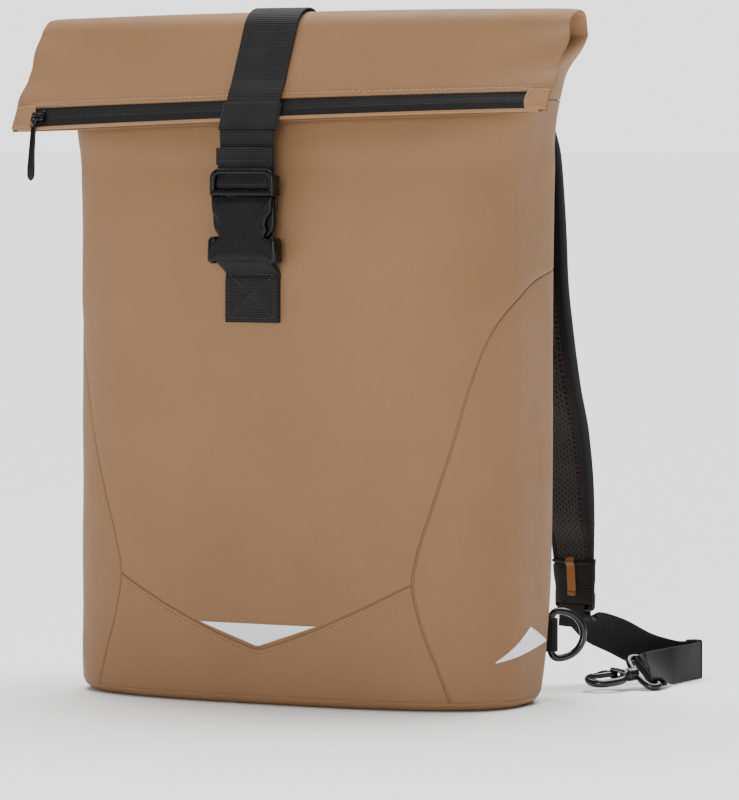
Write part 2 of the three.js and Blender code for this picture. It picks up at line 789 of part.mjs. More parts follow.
function sideReflector() {
  const { top, back, tip } = sideReflectorCorners;
  return reflector([back, top], tip, 7, 2, 0.8);
}

// The shoulder strap: a padded band from the collar seam down behind the back
const strapRows = [
  { height: 1.0, bulge: 0.0, width: 0.86, twist: 0, thick: 0.35 },
  { height: 0.96, bulge: 0.0, width: 0.96, twist: 0, thick: 0.8 },
  { height: 0.9, bulge: 0.02, width: 1, twist: 0.05, thick: 1 },
  { height: 0.82, bulge: 0.07, width: 1, twist: 0.1, thick: 1 },
  { height: 0.73, bulge: 0.15, width: 1, twist: 0.25, thick: 1 },
  { height: 0.64, bulge: 0.22, width: 1, twist: 0.4, thick: 1 },
  { height: 0.55, bulge: 0.35, width: 1, twist: 0.55, thick: 1 },
  { height: 0.42, bulge: 0.59, width: 1, twist: 0.8, thick: 1 },
  { height: 0.32, bulge: 0.82, width: 0.97, twist: 0.95, thick: 1 },
  { height: 0.23, bulge: 0.93, width: 0.92, twist: 1, thick: 1 },
  { height: 0.14, bulge: 0.98, width: 0.84, twist: 1, thick: 0.9 },
  { height: 0.09, bulge: 1.02, width: 0.76, twist: 1, thick: 0.6 },
  { height: 0.0, bulge: 1.0, width: 0.64, twist: 1, thick: 0.42 },
];
const strapTopHeight = collarHeight - 3;

function strapFrame(height) {
  const value = (column) => fromTable([...strapRows].reverse(), "height", column, height);
  const z = mix(strapEndHeight, strapTopHeight, height);
  const width = value("width") * strapWidth;
  const thickness = value("thick") * strapThickness;
  const twist = value("twist") * strapTwist * radians;
  const across = new THREE.Vector3(Math.cos(twist), -Math.sin(twist), 0);
  const outerEdge = halfBody - strapEdgeInset;
  const away = backFace(outerEdge - width * 0.7, z) + clearance + 0.6 + strapThickness / 2;
  const inFrom = outerEdge - (width / 2) * Math.cos(twist);
  const centre = new THREE.Vector3(inFrom, away + value("bulge") * strapBulge, z);
  centre.y -= ((1 - value("thick")) * strapThickness * smooth((height - 0.9) / 0.1)) / 2;
  return { at: centre, across, width, thickness };
}

// The depth of the back panel at a place across and a height
function backFace(across, height) {
  let low = 0.5;
  let high = 1;
  for (let i = 0; i < 30; i++) {
    const middle = (low + high) / 2;
    if (skinPoint(middle, height).x > across) low = middle;
    else high = middle;
  }
  return skinPoint(high, height).y;
}

function shoulderStrap() {
  const upper = [1, 0.97, 0.93, 0.88, 0.8, 0.72, 0.64, 0.56];
  const heights = [...upper, 0.48, 0.4, 0.32, 0.24, 0.16, 0.11, 0.08, 0.04, 0];
  const frames = heights.map(strapFrame);
  return ringsGeometry(
    frames.map(({ at, across, width, thickness }, i) => {
      const before = frames[Math.max(i - 1, 0)].at;
      const after = frames[Math.min(i + 1, frames.length - 1)].at;
      const through = after.clone().sub(before).cross(across).normalize();
      return softProfile.map(([u, w]) =>
        at.clone().addScaledVector(across, (u * width) / 2).addScaledVector(through, (w * thickness) / 2),
      );
    }),
  );
}

// A strip of leather down the middle of the strap's lower end, on the side that faces the bag
function strapAccent() {
  const heights = range(4, 0.005, 0.1);
  return flatBar(
    boxProfile,
    heights.map((height) => {
      const frame = strapFrame(height);
      const below = strapFrame(Math.max(height - 0.02, 0)).at;
      const above = strapFrame(height + 0.02).at;
      const through = below.sub(above).cross(frame.across).normalize();
      const facing = through.y < 0 ? through : through.negate();
      return {
        at: frame.at.clone().addScaledVector(facing, frame.thickness / 2 + clearance + 0.85),
        across: frame.across,
        through: facing,
        width: 6.5,
        thickness: 1.2,
      };
    }),
  );
}

const strapEnd = strapFrame(0);

// The bar that the narrow webbing passes round, at the end of the padded strap
const lockHeight = 14;
const lockBar = 2.6;
const lockThickness = 3.6;

function ladderLock() {
  const half = strapEnd.width / 2 + 1;
  const shape = roundedRectangle(half * 2, -lockHeight, -clearance - 0.2, 2.5);
  const window = roundedRectangle(half * 2 - 7, -lockHeight + lockBar, -3.2, 1);
  const plate = slab(shape, lockThickness, 0).subtract(slab(window, 8, 0));
  const geometry = fromSolid(plate);
  geometry.rotateZ(-strapTwist * radians);
  geometry.translate(strapEnd.at.x, strapEnd.at.y, strapEnd.at.z);
  return geometry;
}

// The narrow webbing: a tail and a loop round the lock's lower bar, then down to the floor, where
// it stands on its edge, turns back on itself and ends at the hook's eye. Offsets are from the end
// of the strap and heights from the floor, as shares of trailSpan; it never goes below flatHeight.
const flatHeight = narrowWebbing / 2 + 0.3;
const webbingRoute = [
  { x: 0.02, y: 0.09, z: 0.44, wx: 0.86, wy: -0.3, wz: 0.4 },
  { x: 0.09, y: 0.17, z: 0.38, wx: 0.6, wy: 0, wz: 0.8 },
  { x: 0.19, y: 0.29, z: 0.315, wx: 0.3, wy: 0.05, wz: 0.95 },
  { x: 0.3, y: 0.5, z: 0.205, wx: 0.15, wy: 0.1, wz: 1 },
  { x: 0.41, y: 0.7, z: 0.14, wx: 0.05, wy: 0, wz: 1 },
  { x: 0.47, y: 0.81, z: 0, wx: 0, wy: 0, wz: 1 },
  { x: 0.5, y: 0.85, z: 0, wx: 0, wy: 0, wz: 1 },
  { x: 0.54, y: 0.85, z: 0, wx: 0, wy: 0, wz: 1 },
  { x: 0.565, y: 0.81, z: 0, wx: 0, wy: 0, wz: 1 },
  { x: 0.57, y: 0.72, z: 0, wx: 0, wy: 0, wz: 1 },
  { x: 0.57, y: 0.58, z: 0, wx: 0, wy: 0, wz: 1 },
  { x: 0.56, y: 0.42, z: 0, wx: -0.1, wy: 0.1, wz: 1 },
  { x: 0.545, y: 0.28, z: 0, wx: -0.35, wy: 0.3, wz: 0.9 },
];

// The hook's own frame: along its length, across its eye, and out of its face
const eyePlace = { x: 0.51, y: 0.06 };
const hookAlong = new THREE.Vector3(-0.58, -0.81, -0.1).normalize();
const level = new THREE.Vector3(hookAlong.y, -hookAlong.x, 0).normalize();
const uprightFace = level.clone().cross(hookAlong).normalize();
const eyeAcross = level
  .clone()
  .multiplyScalar(Math.cos(eyeLean * radians))
  .addScaledVector(uprightFace, Math.sin(eyeLean * radians));
const hookFace = eyeAcross.clone().cross(hookAlong).normalize();
const eyeHalf = eyeWidth / 2;
const eyeBar = new THREE.Vector3(
  strapEnd.at.x + eyePlace.x * trailSpan,
  strapEnd.at.y + eyePlace.y * trailSpan,
  (eyeHalf - eyeWire) * Math.sin(eyeLean * radians) + eyeWire + 0.6,
);
const hookPoint = (along, across, out) =>
  eyeBar
    .clone()
    .addScaledVector(hookAlong, along)
    .addScaledVector(eyeAcross, across)
    .addScaledVector(hookFace, out);

// A frame turned about the hook's length, for what turns with the hook
function turned(lean) {
  const across = level
    .clone()
    .multiplyScalar(Math.cos(lean * radians))
    .addScaledVector(uprightFace, Math.sin(lean * radians));
  return { across, face: across.clone().cross(hookAlong).normalize() };
}
const hookTurned = turned(hookLean);
const bodyPoint = (along, across, out) =>
  eyeBar
    .clone()
    .addScaledVector(hookAlong, along)
    .addScaledVector(hookTurned.across, across)
    .addScaledVector(hookTurned.face, out);

function hookWebbing() {
  const twist = strapTwist * radians;
  const normal = new THREE.Vector3(Math.sin(twist), Math.cos(twist), 0);
  const across = strapEnd.across;
  const low = strapEndHeight - lockHeight;
  const round = lockThickness / 2 + strapOff;
  const local = (n, z) => strapEnd.at.clone().addScaledVector(normal, n).setZ(z);
  const stations = [
    { at: local(-round, low - 12), wide: across },
    { at: local(-round, low + 1), wide: across },
    { at: local(-round, low + lockBar + 0.2), wide: across },
    { at: local(-round * 0.6, low + lockBar + 1.6), wide: across },
    { at: local(round * 0.6, low + lockBar + 1.6), wide: across },
    { at: local(round, low + lockBar + 0.2), wide: across },
    { at: local(round, low - 1), wide: across },
    { at: local(round + 0.6, low - 5), wide: across },
    ...webbingRoute.map(({ x, y, z, wx, wy, wz }) => ({
      at: new THREE.Vector3(
        strapEnd.at.x + x * trailSpan,
        strapEnd.at.y + y * trailSpan,
        Math.max(z * trailSpan, flatHeight),
      ),
      wide: new THREE.Vector3(wx, wy, wz),
    })),
  ];
  // Once round the eye's bar, from above to below
  const reach = eyeWire + strapOff + 0.4;
  for (const angle of range(8, 0.6 * Math.PI, -0.62 * Math.PI)) {
    const along = reach * Math.cos(angle);
    const out = reach * Math.sin(angle);
    stations.push({ at: hookPoint(along, 0, out), wide: eyeAcross });
  }
  stations.push({ at: hookPoint(-9, 0, -reach * 0.9), wide: eyeAcross });
  return ribbon(stations, narrowWebbing, webbing);
}

// A wire along a closed or open path of points
function wire(points, radius, isLoop, up, sides = 8) {
  const profile = roundProfile(sides);
  const count = points.length;
  const rings = points.map((at, i) => {
    const before = isLoop ? points[(i + count - 1) % count] : points[Math.max(i - 1, 0)];
    const after = isLoop ? points[(i + 1) % count] : points[Math.min(i + 1, count - 1)];
    const tangent = after.clone().sub(before).normalize();
    const across = tangent.clone().cross(up).normalize();
    return profile.map(([u, w]) =>
      at.clone().addScaledVector(across, u * radius).addScaledVector(up, w * radius),
    );
  });
  return ringsGeometry(rings, isLoop);
}

// A D in a plane: a straight bar with rounded corners and a half round, as [out, up] pairs
function dOutline(height, depth, corner, fullness = 1) {
  const half = height / 2;
  const points = [];
  for (const a of range(2, Math.PI, Math.PI / 2)) {
    points.push([corner + corner * Math.cos(a), half - corner + corner * Math.sin(a)]);
  }
  for (const a of range(9, Math.PI / 2, -Math.PI / 2)) {
    points.push([corner + (depth - corner) * Math.max(Math.cos(a), 0) ** fullness, half * Math.sin(a)]);
  }
  for (const a of range(2, -Math.PI / 2, -Math.PI)) {
    points.push([corner + corner * Math.cos(a), -half + corner + corner * Math.sin(a)]);
  }
  return points;
}

const ringOut = new THREE.Vector3(Math.cos(ringHeading * radians), Math.sin(ringHeading * radians), 0);
const ringRoot = skinPoint(backSeam, ringCentreHeight);
const ringBar = ringRoot.clone().addScaledVector(ringOut, ringStandOff);

function dRing() {
  const up = new THREE.Vector3(0, 0, 1);
  const normal = ringOut.clone().cross(up);
  const outline = dOutline(ringHeight - 2 * ringWire, ringDepth - 2 * ringWire, 5);
  const points = outline.map(([out, rise]) =>
    ringBar.clone().addScaledVector(ringOut, out).addScaledVector(up, rise),
  );
  return wire(points, ringWire, true, normal, 7);
}

// The loop of webbing that holds the ring, sewn into the back seam
function ringTab() {
  const tabRoot = ringStandOff - clearance - 1.8;
  const hole = ringWire + clearance + 0.15;
  const wall = hole + webbing;
  const shape = new THREE.Shape();
  shape.moveTo(-tabRoot, -webbing);
  shape.lineTo(-4, -webbing - 0.4);
  shape.quadraticCurveTo(-2, -wall, 0, -wall);
  shape.absarc(0, 0, wall, -Math.PI / 2, Math.PI / 2);
  shape.quadraticCurveTo(-2, wall, -4, webbing + 0.4);
  shape.lineTo(-tabRoot, webbing);
  const opening = new THREE.Path();
  opening.absarc(0, 0, hole, 0, 2 * Math.PI, true);
  shape.holes.push(opening);
  const geometry = new THREE.ExtrudeGeometry(shape, {
    depth: narrowWebbing - 3,
    bevelEnabled: false,
    curveSegments: 6,
  });
  geometry.translate(0, 0, -(narrowWebbing - 3) / 2);
  geometry.rotateZ(ringHeading * radians);
  geometry.translate(ringBar.x, ringBar.y, ringCentreHeight);
  return fromSolid(toSolid(geometry));
}

// The hook's eye: a D of wire round the webbing, with a collar that the hook turns in
const collarRadius = 4.6;
const collarLength = 4.4;
const pivotRadius = 1.7;
const pivotHead = 2.7;

function alongHook(radius, from, to, sides = 8) {
  const profile = roundProfile(sides);
  const ring = (along) => profile.map(([u, w]) => hookPoint(along, u * radius, w * radius));
  return ringsGeometry([ring(from), ring(to)]);
}

function hookEye() {
  const outline = dOutline(eyeWidth - 2 * eyeWire, eyeDepth - eyeWire, 2, 0.6);
  const points = outline.map(([out, rise]) => hookPoint(out, rise, 0));
  const ring = toSolid(wire(points, eyeWire, true, hookFace, 6));
  const collar = toSolid(alongHook(collarRadius, eyeDepth - eyeWire - 1, eyeDepth + collarLength));
  // The pivot turns in this bore, and its head sits in the wider part
  const bore = toSolid(alongHook(pivotRadius + clearance, eyeDepth + 1, eyeDepth + collarLength + 1));
  const seat = toSolid(alongHook(pivotHead + clearance, eyeDepth - eyeWire + 0.2, eyeDepth + 2.4));
  return fromSolid(ring.add(collar).subtract(bore).subtract(seat));
}

// The hook: a pivot in the collar, a block, and a bent bar open on one side for the gate
const hookRoot = eyeDepth + collarLength + clearance;
const blockLength = 8;
const noseAlong = hookRoot + hookLength;
const hookHalf = hookWidth / 2 - hookWire;
const hookBend = noseAlong - hookWire - hookHalf;
const noseAngle = Math.PI * 0.42;
const gateHinge = { along: hookRoot + blockLength - 3, across: hookHalf - 1.2 };

function hookBody() {
  const head = toSolid(alongHook(pivotHead, eyeDepth - eyeWire + 0.2 + clearance, eyeDepth + 2.4 - clearance, 6));
  const pivot = toSolid(alongHook(pivotRadius, eyeDepth, hookRoot + 1, 6));
  const block = toSolid(alongHook(4.4, hookRoot, hookRoot + 3, 6));
  const path = [
    [hookRoot + 1.5, 0],
    [hookRoot + 3.5, -2.5],
    [hookRoot + 6.5, -hookHalf * 0.8],
    [hookRoot + 12, -hookHalf],
  ];
  for (const angle of range(7, -Math.PI / 2, noseAngle)) {
    path.push([hookBend + hookHalf * Math.cos(angle), hookHalf * Math.sin(angle)]);
  }
  const bar = toSolid(wire(path.map(([a, c]) => bodyPoint(a, c, 0)), hookWire, false, hookTurned.face, 6));
  // The cheeks on both sides of the gate's foot
  const cheek = (out) => {
    const profile = roundProfile(8);
    const ring = (shift) =>
      profile.map(([u, w]) => bodyPoint(gateHinge.along + u * 3.4, gateHinge.across + w * 3.4, shift));
    return toSolid(ringsGeometry([ring(out), ring(out + 1.1)]));
  };
  const arm = (out) => {
    const outline = [
      [hookRoot, -2],
      [hookRoot + 4, -3],
      [gateHinge.along + 1, gateHinge.across - 3.2],
      [gateHinge.along - 1, gateHinge.across + 3.2],
      [hookRoot, 3.6],
    ];
    const ring = (shift) => outline.map(([a, c]) => bodyPoint(a, c, shift));
    return toSolid(ringsGeometry([ring(out), ring(out + 1.1)]));
  };
  const inside = gateHalf + clearance;
  const parts = [pivot, block, bar, cheek(inside), cheek(-inside - 1.1), arm(inside), arm(-inside - 1.1)];
  const pin = wire(
    [-inside - 0.5, inside + 0.5].map((out) => bodyPoint(gateHinge.along, gateHinge.across, out)),
    hingePin,
    false,
    hookAlong,
  );
  const room = gateRoom(inside);
  let solid = head;
  for (const part of parts) solid = solid.add(part);
  return fromSolid(solid.subtract(room).add(toSolid(pin)));
}

const gateHalf = 1.7;
const hingePin = 0.8;

// Room for the gate's foot between the cheeks
function gateRoom(inside) {
  const profile = roundProfile(8);
  const ring = (shift) =>
    profile.map(([u, w]) => bodyPoint(gateHinge.along + u * 3.2, gateHinge.across + w * 3.2, shift));
  return toSolid(ringsGeometry([ring(-inside), ring(inside)]));
}

// The gate: a thin bar from its hinge to the hook's nose, with a thumb piece on the outside
function hookGate() {
  const reach = hookBend + hookHalf * Math.cos(noseAngle) - 1.2;
  const outline = [
    [gateHinge.along - 1.6, gateHinge.across - 1.6],
    [gateHinge.along + 2.2, gateHinge.across - 2],
    [reach, hookHalf - 1.9],
    [reach, hookHalf + 1.2],
    [gateHinge.along + 13, hookHalf + 1.6],
    [gateHinge.along + 9, hookHalf + 3.6],
    [gateHinge.along + 5, hookHalf + 3.2],
    [gateHinge.along + 1, gateHinge.across + 2.4],
    [gateHinge.along - 1.6, gateHinge.across + 1.6],
  ];
  const ring = (shift) => outline.map(([a, c]) => bodyPoint(a, c, shift));
  const bar = toSolid(ringsGeometry([ring(-gateHalf), ring(gateHalf)]));
  const profile = roundProfile(8);
  const circle = (shift) =>
    profile.map(([u, w]) =>
      bodyPoint(
        gateHinge.along + u * (hingePin + clearance),
        gateHinge.across + w * (hingePin + clearance),
        shift,
      ),
    );
  const bore = toSolid(ringsGeometry([circle(-gateHalf - 1), circle(gateHalf + 1)]));
  return fromSolid(bar.subtract(bore));
}

const model = new THREE.Group();
const middle = [
  mesh("front_panel", frontPanel(), tan),
  mesh("lower_front_panel", lowerFrontPanel(), tan),
  mesh("back_panel", backPanel(), tan),
  mesh("base_panel", basePanel(), tan),
  mesh("roll_top", rollTop(), tan),
  mesh("zip_tape", zipTape(), black, 0.35),
  mesh("zip_slider", zipSlider(), gloss, 0.3, 0.6),
  mesh("zip_puller", zipPuller(), black, 0.5),
  mesh("closing_strap", closingStrap(), black, 0.8),
  mesh("strap_keeper", strapKeeper(), black, 0.8),
  mesh("buckle_male", buckleMale(), gloss, 0.3),
  mesh("buckle_female", buckleFemale(), gloss, 0.3),
  mesh("buckle_tab", buckleTab(), black, 0.8),
  mesh("front_reflector", frontReflector(), silver, 0.3),
];
model.add(...middle);

for (const hand of ["right", "left"]) {
  const half = new THREE.Group();
  half.scale.x = hand === "right" ? 1 : -1;
  half.add(
    mesh(`side_panel_${hand}`, sidePanel(), tan),
    mesh(`side_reflector_${hand}`, sideReflector(), silver, 0.3),
    mesh(`shoulder_strap_${hand}`, shoulderStrap(), black, 0.9),
    mesh(`strap_accent_${hand}`, strapAccent(), tan),
    mesh(`ladder_lock_${hand}`, ladderLock(), gloss, 0.3),
    mesh(`hook_webbing_${hand}`, hookWebbing(), black, 0.8),
    mesh(`ring_tab_${hand}`, ringTab(), black, 0.8),
    mesh(`d_ring_${hand}`, dRing(), gloss, 0.3, 0.5),
    mesh(`hook_eye_${hand}`, hookEye(), gloss, 0.3, 0.7),
    mesh(`hook_body_${hand}`, hookBody(), gloss, 0.3, 0.7),
    mesh(`hook_gate_${hand}`, hookGate(), gloss, 0.3, 0.7),
  );
  model.add(half);
}
model.add(mesh("zip_end_right", zipEnd(1), tan), mesh("zip_end_left", zipEnd(-1), tan));

export default model;
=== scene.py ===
"""A roll-top messenger backpack in coated leather cloth: its finished surfaces and materials."""

import bpy
import numpy as np
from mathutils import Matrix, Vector


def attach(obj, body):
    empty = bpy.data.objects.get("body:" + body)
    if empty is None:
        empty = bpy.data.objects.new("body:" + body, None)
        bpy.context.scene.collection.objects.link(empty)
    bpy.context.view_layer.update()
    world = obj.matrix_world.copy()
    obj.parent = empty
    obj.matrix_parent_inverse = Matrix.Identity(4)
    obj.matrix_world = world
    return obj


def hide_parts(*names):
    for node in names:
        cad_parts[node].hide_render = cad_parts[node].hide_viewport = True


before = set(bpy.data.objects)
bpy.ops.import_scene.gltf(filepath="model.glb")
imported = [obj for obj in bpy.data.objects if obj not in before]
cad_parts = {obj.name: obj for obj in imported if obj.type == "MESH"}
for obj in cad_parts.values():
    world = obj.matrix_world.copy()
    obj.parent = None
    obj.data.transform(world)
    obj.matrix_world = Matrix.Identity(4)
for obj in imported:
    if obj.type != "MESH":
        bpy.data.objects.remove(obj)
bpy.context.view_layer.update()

# Sizes in millimetres: those of the solids, but for a slimmer buckle and a zip nearer the flap's edge
BODY_WIDTH, FRONT_DEPTH, BACK_DEPTH = 313, 77, 66
ROLL_WIDTH, FOLD_HEIGHT, FOLD_RADIUS, ROLL_HALF_THICKNESS = 392, 450, 15, 3
FOLD_LINE, FLAP_LENGTH, FLAP_LEAN, FLAP_TILT = -36, 65, 25, 0.08
ROLL_BEND, LIP_BEND, ROLL_TILT = 34, 26, 1.5
COLLAR_HEIGHT, BASE_ROUND, BASE_SEAM = 392, 10, 5
LEATHER, SEAM_GAP, CLEARANCE = 1.6, 0.5, 0.3
V_TIP, V_END, SIDE_SEAM_TOP, BACK_SEAM = 37, 82, 284, 0.63
ZIP_WIDTH, ZIP_LIP = 13.5, 1.4
PULLER_LENGTH, PULLER_WIDTH = 36, 5.5
WIDE, NARROW, WEBBING = 39, 25, 1.6
BUCKLE_WIDTH, BUCKLE_THICKNESS, BUCKLE_TOP = 45.5, 11, 348
FRAME_HEIGHT, HOUSING_HEIGHT, BUCKLE_STAND_OFF, TAB_BOTTOM = 17.5, 39, 4, 249
KEEPER_HEIGHT = 19
RING_WIRE, RING_HEIGHT, RING_DEPTH, RING_STAND_OFF = 2.4, 36, 27, 7
RING_CENTRE, RING_HEADING = 42, 42
STRAP_WIDTH, STRAP_THICKNESS, STRAP_BULGE, STRAP_TWIST = 58, 9, 64, 25
STRAP_END, STRAP_INSET, TRAIL_SPAN = 66, 6.5, 100
EYE_WIDTH, EYE_DEPTH, EYE_WIRE, EYE_LEAN = 37, 12, 2.3, 32
HOOK_LENGTH, HOOK_WIDTH, HOOK_WIRE, HOOK_LEAN = 31, 22, 2.7, 12

HALF_BODY, HALF_ROLL = BODY_WIDTH / 2, ROLL_WIDTH / 2
FOLD_START = FOLD_HEIGHT - FOLD_RADIUS - ROLL_HALF_THICKNESS
FOLD_TURN = np.radians(180 - FLAP_LEAN)
FLAP_START = FOLD_START + FOLD_RADIUS * FOLD_TURN
MOUTH = FLAP_START + FLAP_LENGTH + 1.2
ZIP_TOP = MOUTH - ZIP_LIP - ZIP_WIDTH + CLEARANCE
ZIP_BOTTOM = MOUTH - ZIP_LIP
HALF_LEATHER = LEATHER / 2
# How far from a panel's edge its closest rows lie
EDGE_ROWS = np.array([0, 0.25, 0.55, 0.9, 1.4, 2.1, 3.2, 5])
# How far a stitch stands out at its middle, and how much deeper its ends go
STITCH_OUT, STITCH_SINK = 0.12, 0.55
V_STITCH_DROP, ZIP_STITCH_RISE = 3.7 * np.sqrt(1.12), 3.2
HANDS = (("right", 1), ("left", -1))

# Share of the fold's height: how full the front and back are, and how square their corners
FULLNESS = np.array([
    (0.0, 0.93, 0.97, 2.8, 2.7),
    (0.2, 0.955, 1.0, 2.8, 5),
    (0.42, 1.0, 1.0, 2.8, 6),
    (0.58, 1.0, 1.0, 2.8, 6),
    (0.72, 0.98, 1.0, 2.8, 6),
    (0.82, 0.91, 0.97, 2.8, 5.5),
    (0.88, 0.74, 0.9, 2.8, 5),
    (0.92, 0.56, 0.77, 2.8, 4.4),
    (0.96, 0.32, 0.5, 2.8, 3.6),
    (1.0, 0, 0, 3, 3),
])
# The side seam: share of its height, and share of the way round the bag
SIDE_SEAM = np.array([
    (0.0, 0.339), (0.1, 0.312), (0.2, 0.285), (0.29, 0.272), (0.355, 0.28), (0.46, 0.304), (0.6, 0.337),
    (0.7, 0.358), (0.78, 0.378), (0.845, 0.4), (0.895, 0.43), (0.94, 0.481), (0.975, 0.54), (1.0, BACK_SEAM),
])
# The shoulder strap: share of its height, outward bulge, width, twist, thickness
STRAP_ROWS = np.array([
    (0.0, 1.0, 0.64, 1, 0.42), (0.09, 1.02, 0.76, 1, 0.6), (0.14, 0.98, 0.84, 1, 0.9), (0.23, 0.93, 0.92, 1, 1),
    (0.32, 0.82, 0.97, 0.95, 1), (0.42, 0.59, 1, 0.8, 1), (0.55, 0.35, 1, 0.55, 1), (0.64, 0.22, 1, 0.4, 1),
    (0.73, 0.15, 1, 0.25, 1), (0.82, 0.07, 1, 0.1, 1), (0.9, 0.02, 1, 0.05, 1), (0.96, 0.0, 0.96, 0, 0.8),
    (1.0, 0.0, 0.86, 0, 0.35),
])


# Numbers and curves

def smooth(x):
    """3u^2 - 2u^3 with u kept between 0 and 1."""
    u = np.clip(x, 0, 1)
    return u * u * (3 - 2 * u)


def mix(a, b, share):
    """a + (b - a) times share."""
    return a + (b - a) * share


def unit(v):
    """Each vector divided by its length."""
    v = np.asarray(v, float)
    return v / np.maximum(np.linalg.norm(v, axis=-1, keepdims=True), 1e-12)


def from_table(table, column, at):
    """A monotone cubic through the column of a table, its tangents the harmonic mean of the slopes."""
    x, y = table[:, 0], table[:, column]
    slopes = np.diff(y) / np.diff(x)
    before, after = slopes[:-1], slopes[1:]
    inner = np.where(before * after > 0, 2 * before * after / np.where(before * after > 0, before + after, 1), 0)
    tangents = np.concatenate([slopes[:1], inner, slopes[-1:]])
    at = np.clip(at, x[0], x[-1])
    i = np.clip(np.searchsorted(x, at, side="left") - 1, 0, len(x) - 2)
    span = x[i + 1] - x[i]
    u = (at - x[i]) / span
    return (
        (2 * u**3 - 3 * u**2 + 1) * y[i]
        + (u**3 - 2 * u**2 + u) * span * tangents[i]
        + (3 * u**2 - 2 * u**3) * y[i + 1]
        + (u**3 - u**2) * span * tangents[i + 1]
    )


def lengths(points):
    """Distance along a polyline at each of its points."""
    steps = np.linalg.norm(np.diff(points, axis=0), axis=1)
    return np.concatenate([[0], np.cumsum(steps)])


def resample(points, pitch=None, count=None, closed=False):
    """A Catmull-Rom curve through the points, cut into even steps of its length."""
    points = np.asarray(points, float)
    if closed:
        padded = np.vstack([points[-1:], points, points[:2]])
    else:
        padded = np.vstack([2 * points[0] - points[1], points, 2 * points[-1] - points[-2]])
    u = np.linspace(0, 1, 24, endpoint=False)[None, :, None]
    a, b, c, d = (padded[k:len(padded) - 3 + k, None, :] for k in range(4))
    fine = 0.5 * (2 * b + (c - a) * u + (2 * a - 5 * b + 4 * c - d) * u**2 + (3 * b - a - 3 * c + d) * u**3)
    fine = np.vstack([fine.reshape(-1, points.shape[1]), padded[-2][None]])
    along = lengths(fine[:, :3])
    count = count or max(int(along[-1] / pitch), 2) + 1
    wanted = np.linspace(0, along[-1], count + 1)[:-1] if closed else np.linspace(0, along[-1], count)
    return np.stack([np.interp(wanted, along, fine[:, k]) for k in range(points.shape[1])], 1)


def spaced(length, count):
    """Shares from 0 to 1 of a length: close together by both ends, where an edge is rolled, and even between."""
    near = EDGE_ROWS / length
    middle = np.linspace(near[-1], 1 - near[-1], count)[1:-1]
    return np.concatenate([near, middle, 1 - near[::-1]])


# The skin of the bag

def quarter(share, width, depth, power):
    """The quarter superellipse (width cos^(2/p), depth sin^(2/p)) from (0, depth), at a share of its length."""
    share, width, depth, power = np.broadcast_arrays(*(np.asarray(v, float) for v in (share, width, depth, power)))
    angle = np.linspace(np.pi / 2, 0, 73)
    cosine, sine = np.maximum(np.cos(angle), 0), np.maximum(np.sin(angle), 0)
    cosine[0], sine[-1] = 0, 0
    exponent = (2 / power)[..., None]
    x, y = width[..., None] * cosine**exponent, depth[..., None] * sine**exponent
    run = np.cumsum(np.hypot(np.diff(x, axis=-1), np.diff(y, axis=-1)), axis=-1)
    run = np.concatenate([np.zeros_like(run[..., :1]), run], -1)
    wanted = np.clip(share, 0, 1)[..., None] * run[..., -1:]
    i = np.clip((run < wanted).sum(-1) - 1, 0, 71)[..., None]
    low, high = np.take_along_axis(run, i, -1), np.take_along_axis(run, i + 1, -1)
    u = (wanted - low) / np.maximum(high - low, 1e-9)
    pick = lambda v: (np.take_along_axis(v, i, -1) * (1 - u) + np.take_along_axis(v, i + 1, -1) * u)[..., 0]
    return pick(x), pick(y)


def skin(around, along, inset=0.0):
    """A point of the tube that is the bag: around runs from 0 at the front's middle to 1 or -1 at the
    back's, along goes up it, round the fold and down the flap, and inset is the depth under the face."""
    around, along = np.broadcast_arrays(np.asarray(around, float), np.asarray(along, float))
    height = np.minimum(along / FOLD_START, 1)
    flat = ROLL_HALF_THICKNESS * smooth(np.maximum(height, 0) ** 8)
    front = from_table(FULLNESS, 1, height) * FRONT_DEPTH + flat
    back = from_table(FULLNESS, 2, height) * BACK_DEPTH + flat
    opened = np.clip((front + back - 2 * ROLL_HALF_THICKNESS) / (FRONT_DEPTH + BACK_DEPTH), 0, 1)
    width = HALF_ROLL - (HALF_ROLL - HALF_BODY) * opened**1.18
    corner = np.clip(BASE_ROUND - along, 0, BASE_ROUND)
    cut = inset + BASE_ROUND - np.sqrt(BASE_ROUND**2 - corner**2)
    share = np.abs(around)
    in_front = share <= 0.5
    depth = np.where(in_front, front, back)
    power = np.where(in_front, from_table(FULLNESS, 3, height), from_table(FULLNESS, 4, height))
    x, y = quarter(np.where(in_front, share * 2, 2 - share * 2), width - cut, depth - cut, power)
    across = np.sign(around) * x
    rolled = smooth((along / FOLD_START - 0.84) / 0.16)
    down = along - FLAP_START
    place = np.where(down > 0, FLAP_START + down * (1 - FLAP_TILT * across / HALF_ROLL), along)
    turn = np.clip((place - FOLD_START) / FOLD_RADIUS, 0, FOLD_TURN)
    fall = np.maximum(place - FLAP_START, 0)
    bent = place > FOLD_START
    rise = (FOLD_LINE + FOLD_RADIUS) * smooth((place / FOLD_START - 0.8) / 0.2)
    spine_y = np.where(bent, FOLD_LINE + FOLD_RADIUS * np.cos(turn) - fall * np.sin(turn), rise)
    spine_z = np.where(bent, FOLD_START + FOLD_RADIUS * np.sin(turn) + fall * np.cos(turn), place)
    outward = np.where(in_front, y, -y)
    bend = mix(ROLL_BEND, LIP_BEND, smooth((along - FLAP_START) / FLAP_LENGTH)) * rolled
    return np.stack([
        across,
        spine_y - outward * np.cos(turn) + bend * (across / HALF_ROLL) ** 2,
        spine_z - outward * np.sin(turn) + ROLL_TILT * rolled * across / HALF_ROLL,
    ], -1)


